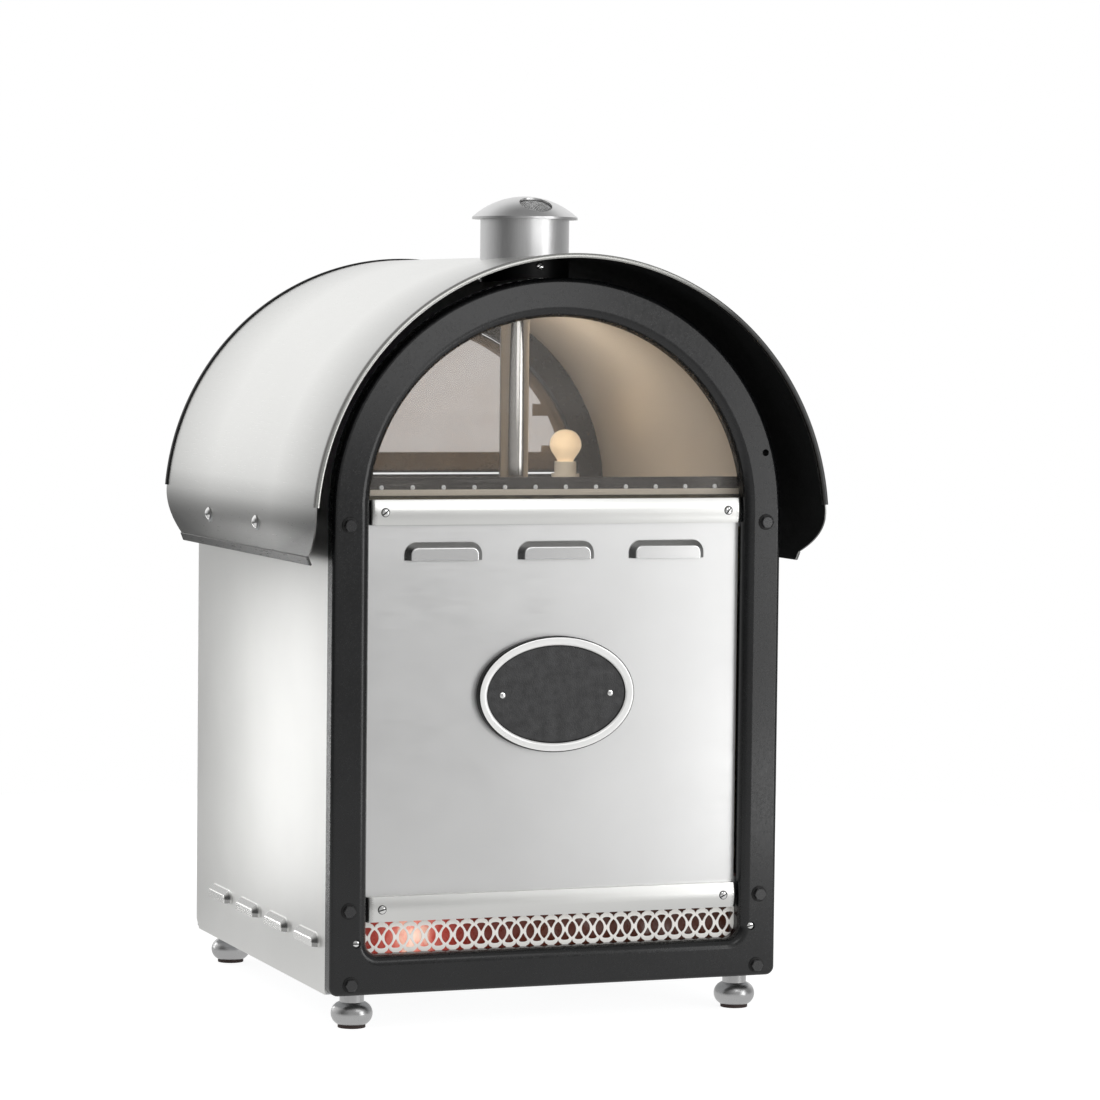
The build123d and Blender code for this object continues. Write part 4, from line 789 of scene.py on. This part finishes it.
def canopy_bead(name, y_edge, into, slot, finish, flanks, node_name):
    # Rounded channel over the edge of the sheet; into is the way from the edge into the canopy
    start = math.degrees(math.asin(BEAD_LIFT / CANOPY_R))
    rings = []
    for step in range(BEAD_STEPS + 1):
        angle = math.radians(start + (180 - 2 * start) * step / BEAD_STEPS)
        ring = []
        for out, depth in BEAD:
            radius = CANOPY_R - SHEET_EDGE / 2 + out
            height = CANOPY_Z + radius * math.sin(angle)
            ring.append((radius * math.cos(angle), y_edge + into * depth, height))
        rings.append(ring if into > 0 else ring[::-1])
    bead = Shape()
    bead.skin(rings)
    front = (1, 2, 3) if into > 0 else (9, 10, 11)
    for index in range(BEAD_STEPS * len(BEAD)):
        bead.marks[index] = 0 if index % len(BEAD) in front else 1
    made = bead.piece(name, slot, sharp=40, extra=[flanks])
    made.data.materials[0] = finish
    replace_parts(made, node_name)


canopy_bead("front_bead", CANOPY_FRONT, 1, "bright_strip", trim_steel, shaded_trim_flank, "canopy_trim_front")
canopy_bead("rear_bead", CANOPY_REAR, -1, "dark_edge", edge_black, edge_black, "canopy_trim_rear")

# Canopy sheet: a barrel that curls in below its beads, with rounded corners and a hem folded
# along each foot
CANOPY_FOOT = 415.0
SHEET_FRONT = CANOPY_FRONT + 2.0
SHEET_REAR = CANOPY_REAR - 2.0
CURL = 8.0
CURL_TOP = CANOPY_Z + BEAD_LIFT
CORNER_RISE = 42.5
FRONT_CORNER = (43.5, 2.5)
REAR_CORNER = (32.0, 1.85)
FLANK_STEPS = 28
BARREL_STEPS = 228
HEM_OUTSIDE = (415.0, 415.4, 416.5, 418.0, 419.5, 421.0, 422.1, 422.5)
HEM_INSIDE = (422.5, 419.5, 416.5, 415.0)
HEM_TAB = 1.6
HEM_START = 2.8


def half_width(height):
    below = max(CURL_TOP - height, 0.0) / (CURL_TOP - CANOPY_FOOT)
    return math.sqrt(CANOPY_R ** 2 - (height - CANOPY_Z) ** 2) - CURL * below ** 2


def setback(height, corner):
    # How far a rounded corner stands back from the end of the sheet at a height
    share = min(max((height - HEM_TOP) / CORNER_RISE, 0.0), 1.0)
    return corner[0] * (1 - share) ** corner[1]


flank = []
for step in range(FLANK_STEPS):
    height = CANOPY_FOOT + (CURL_TOP - CANOPY_FOOT) * step / FLANK_STEPS
    flank.append((half_width(height), height))
outline = list(flank)
first = math.asin((CURL_TOP - CANOPY_Z) / CANOPY_R)
for step in range(BARREL_STEPS + 1):
    angle = first + (math.pi - 2 * first) * step / BARREL_STEPS
    outline.append((CANOPY_R * math.cos(angle), CANOPY_Z + CANOPY_R * math.sin(angle)))
outline += [(-x, z) for x, z in reversed(flank)]
rings = []
for step, (x, z) in enumerate(outline):
    before = outline[max(step - 1, 0)]
    after = outline[min(step + 1, len(outline) - 1)]
    out = Vector((after[1] - before[1], before[0] - after[0])).normalized()
    start = SHEET_FRONT + setback(z, FRONT_CORNER)
    end = SHEET_REAR - setback(z, REAR_CORNER)
    inner = (x - SHEET_EDGE * out.x, z - SHEET_EDGE * out.y)
    rings.append([(x, start, z), (x, end, z), (inner[0], end, inner[1]), (inner[0], start, inner[1])])
sheet = Shape()
sheet.skin(rings)
for index in range(4 * (len(rings) - 1)):
    sheet.marks[index] = 1 if index % 4 == 2 else 0
for side in (1, -1):
    section = []
    for height in HEM_OUTSIDE:
        lift = 0.7 if height in (CANOPY_FOOT, HEM_TOP) else 1.1
        section.append((side * (half_width(height) + lift), height))
    for height in HEM_INSIDE:
        section.append((side * (half_width(height) - 0.4), height))
    first, last = SHEET_FRONT + FRONT_CORNER[0], SHEET_REAR - REAR_CORNER[0]
    folds = (
        (first, first + HEM_TAB),
        (first + HEM_START, last - HEM_START),
        (last - HEM_TAB, last),
    )
    for start, end in folds:
        bars = [[(x, y, z) for x, z in section] for y in (start, end)]
        sheet.skin(bars if side < 0 else bars[::-1], mark=2)
canopy_sheet = sheet.piece("canopy_sheet", "stainless_sheet", sharp=40, extra=[canopy_paint, shaded_hem_steel])
canopy_sheet.data.materials[0] = canopy_steel
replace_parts(canopy_sheet, "canopy")

# Woven wire under the vent of the cap
WIRE_COUNT = 8
WIRE_SIDES = 5
WIRE_PITCH = 1.7
WIRE_RADIUS = 0.32
WIRE_WEAVE = 0.3
DISH_RADIUS = 69.4
DISH_CENTRE = 674.6
VENT_SHIFT = -28.5
GAUZE_RADIUS = 15.0
gauze = Shape()


def dish_height(x, y):
    return DISH_CENTRE + math.sqrt(DISH_RADIUS ** 2 - x * x - y * y)


for along in (0, 1):
    for index in range(-WIRE_COUNT, WIRE_COUNT + 1):
        across = index * WIRE_PITCH
        reach = math.sqrt(max(GAUZE_RADIUS ** 2 - across ** 2, 1.0))
        count = max(4, int(reach * 2 / (WIRE_PITCH / 4)))
        rings = []
        for step in range(count + 1):
            run = -reach + 2 * reach * step / count
            x, y = (run, across) if along else (across, run)
            y += VENT_SHIFT
            weave = WIRE_WEAVE * math.cos(math.pi * (run / WIRE_PITCH + index + along))
            z = dish_height(x, y) - 0.7 + weave
            ring = []
            for corner in range(WIRE_SIDES):
                angle = math.tau * corner / WIRE_SIDES
                side_x = WIRE_RADIUS * math.cos(angle) * (1 - along)
                side_y = WIRE_RADIUS * math.cos(angle) * along
                ring.append((x + side_x, CHIMNEY_Y + y + side_y, z + WIRE_RADIUS * math.sin(angle)))
            rings.append(ring)
        gauze.skin(rings)
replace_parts(gauze.piece("woven_gauze", "dark_gauze", sharp=80), "vent_gauze")

# Lamp bulbs: pear-shaped glass
BULB = [
    (7.4, 0.0), (7.7, 4.0), (7.7, 9.0), (8.6, 12.0), (11.0, 15.5), (13.8, 19.5), (15.6, 23.5),
    (16.0, 26.5), (15.4, 31.0), (13.6, 35.0), (10.6, 38.6), (6.6, 41.0), (2.0, 41.9), (0.2, 42.0),
]


def bulb(name, x, y, foot, slot, node_name):
    shape = Shape()
    shape.turned(BULB, facing(x, y, foot, "up"), 36)
    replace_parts(shape.piece(name, slot), node_name)


bulb("glow_bulb", -140.0, -156.5, 40.0, "red_lamp", "glow_lamp")
bulb("display_bulb", 150.0, 166.5, 482.2, "warm_lamp", "display_lamp")

# Wool slabs round the oven, a little ragged, each from low and high x, y and z
WOOL_CELL = 22
WOOL_SLABS = [
    (-196.0, 196.0, -171.7, 200.3, 122.0, 150.8),
    (-196.0, -13.8, -171.7, 200.3, 433.2, 475.0),
    (13.8, 196.0, -171.7, 200.3, 433.2, 475.0),
    (-13.8, 13.8, -171.7, -104.3, 433.2, 475.0),
    (-13.8, 13.8, -76.7, 200.3, 433.2, 475.0),
    (161.2, 196.0, -171.7, 200.3, 150.8, 433.2),
    (-196.0, -161.2, -171.7, 200.3, 150.8, 433.2),
    (-161.2, -54.0, -171.7, -141.7, 150.8, 433.2),
    (54.0, 161.2, -171.7, -141.7, 150.8, 433.2),
    (-54.0, 54.0, -171.7, -141.7, 150.8, 238.0),
    (-54.0, 54.0, -171.7, -141.7, 346.0, 433.2),
]
wool = Shape()
for slab in WOOL_SLABS:
    spans = list(zip(slab[0::2], slab[1::2]))
    cuts = max(3, int(max(end - start for start, end in spans) / WOOL_CELL))
    made = bmesh.new()
    bmesh.ops.create_cube(made, size=1.0)
    bmesh.ops.subdivide_edges(made, edges=made.edges[:], cuts=cuts, use_grid_fill=True)
    points = []
    for vertex in made.verts:
        shares = [coordinate + 0.5 for coordinate in vertex.co]
        point = Vector([start + share * (end - start) for (start, end), share in zip(spans, shares)])
        edge_count = sum(1 for share in shares if share < 0.001 or share > 0.999)
        rough = 0.5 + 0.5 * field.noise(point / 9.0)
        pull = 0.15 + 0.5 * rough + 1.1 * max(0, edge_count - 1)
        points.append(point - Vector([pull * (2 * share - 1) for share in shares]))
    made.verts.index_update()
    wool.add(points, [[vertex.index for vertex in face.verts] for face in made.faces])
    made.free()
slabs = wool.piece("wool_slabs", "mineral_wool", sharp=80)
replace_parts(slabs, "insulation")

# Control knobs with fluted grips, and tick marks on the panel round them
THERMOSTAT_X = -60.0
TIMER_X = 20.0
KNOB_SHAFT = [(3.0, -22.0), (3.0, 1.0)]
KNOB_SKIRT = [(19.5, 1.0), (21.0, 1.6), (21.0, 4.6), (20.2, 5.6), (17.6, 6.2), (3.0, 6.2)]
KNOB_GRIP = [
    (17.4, 6.0), (17.1, 7.0), (16.4, 17.4), (15.6, 19.0), (14.2, 19.8), (6.0, 20.0), (0.3, 20.0),
]
GRIP_STEPS = 144
FLUTES = 24
FLUTE_DEPTH = 0.55
TICK_STEPS = 10


def knob(name, x, body, node_name):
    shape = Shape()
    spot = facing(x, Y_CONTROL, Z_CONTROL, "rear")
    shape.turned(KNOB_SHAFT, spot, 20)
    shape.turned(KNOB_SKIRT, spot, 64)
    rings = []
    for reach, height in KNOB_GRIP:
        depth = FLUTE_DEPTH if 6.5 < height < 18.5 else 0.0
        ring = []
        for step in range(GRIP_STEPS):
            angle = math.tau * step / GRIP_STEPS
            radius = reach - depth * (0.5 + 0.5 * math.cos(FLUTES * angle))
            ring.append((radius * math.cos(angle), radius * math.sin(angle), height))
        rings.append(ring)
    shape.skin(rings, spot)
    shape.add(*box_points(-0.8, 0.8, 3.0, 14.5, 19.9, 20.35), spot, mark=1)
    shape.add(*box_points(-0.8, 0.8, 18.2, 20.6, 5.0, 5.9), spot, mark=1)
    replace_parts(shape.piece(name, "black_plastic", body, extra=[white_mark]), node_name)


knob("thermostat_grip", THERMOSTAT_X, "thermostat", "thermostat_knob")
knob("timer_grip", TIMER_X, "timer", "timer_knob")
ticks = Shape()
for knob_x, span in ((THERMOSTAT_X, 270.0), (TIMER_X, 300.0)):
    for step in range(TICK_STEPS + 1):
        turn = Matrix.Rotation(math.radians(-span * step / TICK_STEPS), 4, "Z")
        tick_end = 27.5 if step % 5 == 0 else 26.2
        spot = facing(knob_x, Y_CONTROL, Z_CONTROL, "rear") @ turn
        ticks.add(*box_points(-0.45, 0.45, 23.4, tick_end, -0.2, 0.12), spot)
ticks_piece = ticks.piece("dial_ticks", "black_plastic")
ticks_piece.data.materials[0] = white_mark

# Floor and background: white to the camera, and shaded in what metal mirrors
floor_mesh = bpy.data.meshes.new("floor")
FLOOR_RADIUS = 1.6
FLOOR_SIDES = 96
floor_rim = [math.tau * step / FLOOR_SIDES for step in range(FLOOR_SIDES)]
floor_mesh.from_pydata(
    [(FLOOR_RADIUS * math.cos(turn), FLOOR_RADIUS * math.sin(turn), 0.0) for turn in floor_rim],
    [],
    [list(range(FLOOR_SIDES))],
)
floor = bpy.data.objects.new("floor", floor_mesh)
scene.collection.objects.link(floor)


def ray_kinds(tree):
    # One for rays that look at the background straight or through glass, and one for mirror rays
    path = node(tree, "ShaderNodeLightPath").outputs
    straight = math_node(tree, "MAXIMUM", path["Is Camera Ray"], path["Is Transmission Ray"])
    return straight, path["Is Glossy Ray"]


FLOOR_LEVELS = [
    (0.0, (0.66, 0.66, 0.66)),
    (0.40, (0.68, 0.68, 0.68)),
    (0.50, (0.74, 0.74, 0.74)),
    (0.60, (0.62, 0.62, 0.62)),
    (0.70, (0.42, 0.42, 0.42)),
    (1.0, (0.34, 0.34, 0.34)),
]


def floor_finish():
    material, tree, out = blank_material("pale_floor")
    straight, mirrored = ray_kinds(tree)
    matt = node(tree, "ShaderNodeBsdfDiffuse", {"Color": (0.85, 0.85, 0.84, 1.0)}).outputs[0]
    faint = node(tree, "ShaderNodeBsdfDiffuse", {"Color": (0.3, 0.3, 0.3, 1.0)}).outputs[0]
    glow = node(tree, "ShaderNodeEmission", {"Color": (1, 1, 1, 1), "Strength": 0.86}).outputs[0]
    bright = node(tree, "ShaderNodeAddShader", {0: faint, 1: glow}).outputs[0]
    depth = axes_of(tree, place_of(tree))["Y"]
    mirror_level = ramp(tree, spread(tree, depth, -FLOOR_RADIUS, FLOOR_RADIUS, 0.0, 1.0), FLOOR_LEVELS)
    in_mirror = node(tree, "ShaderNodeEmission", {"Color": mirror_level, "Strength": 1.0}).outputs[0]
    soft = node(tree, "ShaderNodeMixShader", {0: mirrored, 1: matt, 2: in_mirror}).outputs[0]
    both = node(tree, "ShaderNodeMixShader", {0: straight, 1: soft, 2: bright}).outputs[0]
    tree.links.new(both, out.inputs["Surface"])
    return material


floor_mesh.materials.append(floor_finish())

world = bpy.data.worlds.new("studio")
scene.world = world
world.use_nodes = True
sky = world.node_tree
sky.nodes.clear()
sky_out = node(sky, "ShaderNodeOutputWorld")
straight, mirrored = ray_kinds(sky)
way = axes_of(sky, node(sky, "ShaderNodeTexCoord").outputs["Generated"])
behind = spread(sky, way["Y"], -0.15, 0.35, 0.0, 1.0)
SKY_LOW = -0.2
REAR_LEVELS = [
    (-0.14, 0.20), (-0.06, 0.40), (0.0, 0.68), (0.06, 0.92), (0.30, 1.0), (0.66, 1.0), (0.93, 0.16),
]
FRONT_LEVELS = [(-0.20, 0.44), (0.05, 0.42), (0.30, 0.42), (0.70, 0.44)]


def sky_ramp(levels):
    # Grey by height, from (height, level) pairs
    stops = [((height - SKY_LOW) / (1.0 - SKY_LOW), (level, level, level)) for height, level in levels]
    return ramp(sky, spread(sky, way["Z"], SKY_LOW, 1.0, 0.0, 1.0), stops)


# Ahead of the part: darker to the left, and a dark patch low at the right
from_left = spread(sky, way["X"], -0.95, -0.40, 0.40, 1.0)
to_right = spread(sky, way["X"], 0.335, 0.365, 0.0, 0.9)
past_right = spread(sky, way["X"], 0.44, 0.50, 1.0, 0.0)
above = spread(sky, way["Z"], -0.065, -0.04, 0.0, 1.0)
below = spread(sky, way["Z"], 0.10, 0.16, 1.0, 0.0)
patch_across = math_node(sky, "MULTIPLY", to_right, past_right)
patch_up = math_node(sky, "MULTIPLY", above, below)
patch = math_node(sky, "MULTIPLY", patch_across, patch_up)
open_right = math_node(sky, "SUBTRACT", from_left, patch)
before = math_node(sky, "MULTIPLY", sky_ramp(FRONT_LEVELS), open_right)
flanks = spread(sky, math_node(sky, "ABSOLUTE", way["X"]), 0.60, 0.92, 1.0, 0.62)
mirror_level = blend(sky, "FLOAT", behind, before, sky_ramp(REAR_LEVELS))
in_metal = math_node(sky, "MULTIPLY", mirror_level, flanks)
AMBIENT = 0.85
around = blend(sky, "FLOAT", mirrored, AMBIENT, in_metal)
level = blend(sky, "FLOAT", straight, around, 1.0)
backdrop = node(sky, "ShaderNodeBackground", {"Color": (1, 1, 1, 1), "Strength": level})
sky.links.new(backdrop.outputs[0], sky_out.inputs["Surface"])


# Lamps, in metres and watts
def area_light(name, place, target, width, height, power):
    data = bpy.data.lights.new(name, "AREA")
    data.shape = "RECTANGLE"
    data.size = width
    data.size_y = height
    data.energy = power
    light = bpy.data.objects.new(name, data)
    scene.collection.objects.link(light)
    aim = (Vector(target) - Vector(place)).to_track_quat("-Z", "Y").to_matrix().to_4x4()
    light.matrix_world = Matrix.Translation(place) @ aim
    light.visible_camera = False
    return light


MIDDLE = (0.0, 0.0, 0.38)
area_light("key_right", (1.31, -1.93, 0.65), MIDDLE, 0.7, 1.2, 6.4)
area_light("low_right", (0.70, -1.05, 0.08), (0.1, -0.2, 0.15), 0.34, 0.13, 0.38)
area_light("front_top", (0.14, -0.98, 0.68), (-0.1, -0.22, 0.62), 0.38, 0.30, 0.52)
side_glow = area_light("side_glow", (-0.413, 0.45, 0.190), (-0.215, -0.05, 0.25), 0.040, 0.37, 0.163)
side_glow.data.shape = "ELLIPSE"
area_light("top", (0.0, 0.1, 2.2), MIDDLE, 1.6, 1.6, 3.0).visible_glossy = False
inside = bpy.data.lights.new("display_glow", "POINT")
inside.energy = 0.5
inside.color = (1.0, 0.87, 0.70)
inside.shadow_soft_size = 0.03
inside_lamp = bpy.data.objects.new("display_glow", inside)
scene.collection.objects.link(inside_lamp)
inside_lamp.location = (0.045, 0.02, 0.56)
inside_lamp.visible_camera = False
inside_lamp.visible_glossy = False

# Camera at the photograph's viewing angle
TURN = math.radians(20.77)
TILT = math.radians(3.25)
ROLL = math.radians(-0.63)
CAMERA_PLACE = (-1.29386, -3.60004, 0.63232)
LENS = 132.07
ahead = Vector((math.sin(TURN) * math.cos(TILT), math.cos(TURN) * math.cos(TILT), -math.sin(TILT)))
level_right = Vector((math.cos(TURN), -math.sin(TURN), 0.0))
level_down = ahead.cross(level_right)
cam_right = level_right * math.cos(ROLL) + level_down * math.sin(ROLL)
cam_down = level_down * math.cos(ROLL) - level_right * math.sin(ROLL)
cam_axes = Matrix((cam_right, -cam_down, -ahead)).transposed()
camera_data = bpy.data.cameras.new("camera")
camera_data.sensor_fit = "HORIZONTAL"
camera_data.sensor_width = 36.0
camera_data.lens = LENS
camera_data.clip_end = 100.0
camera = bpy.data.objects.new("camera", camera_data)
scene.collection.objects.link(camera)
camera.matrix_world = Matrix.Translation(CAMERA_PLACE) @ cam_axes.to_4x4()
scene.camera = camera

scene.view_settings.view_transform = "Standard"
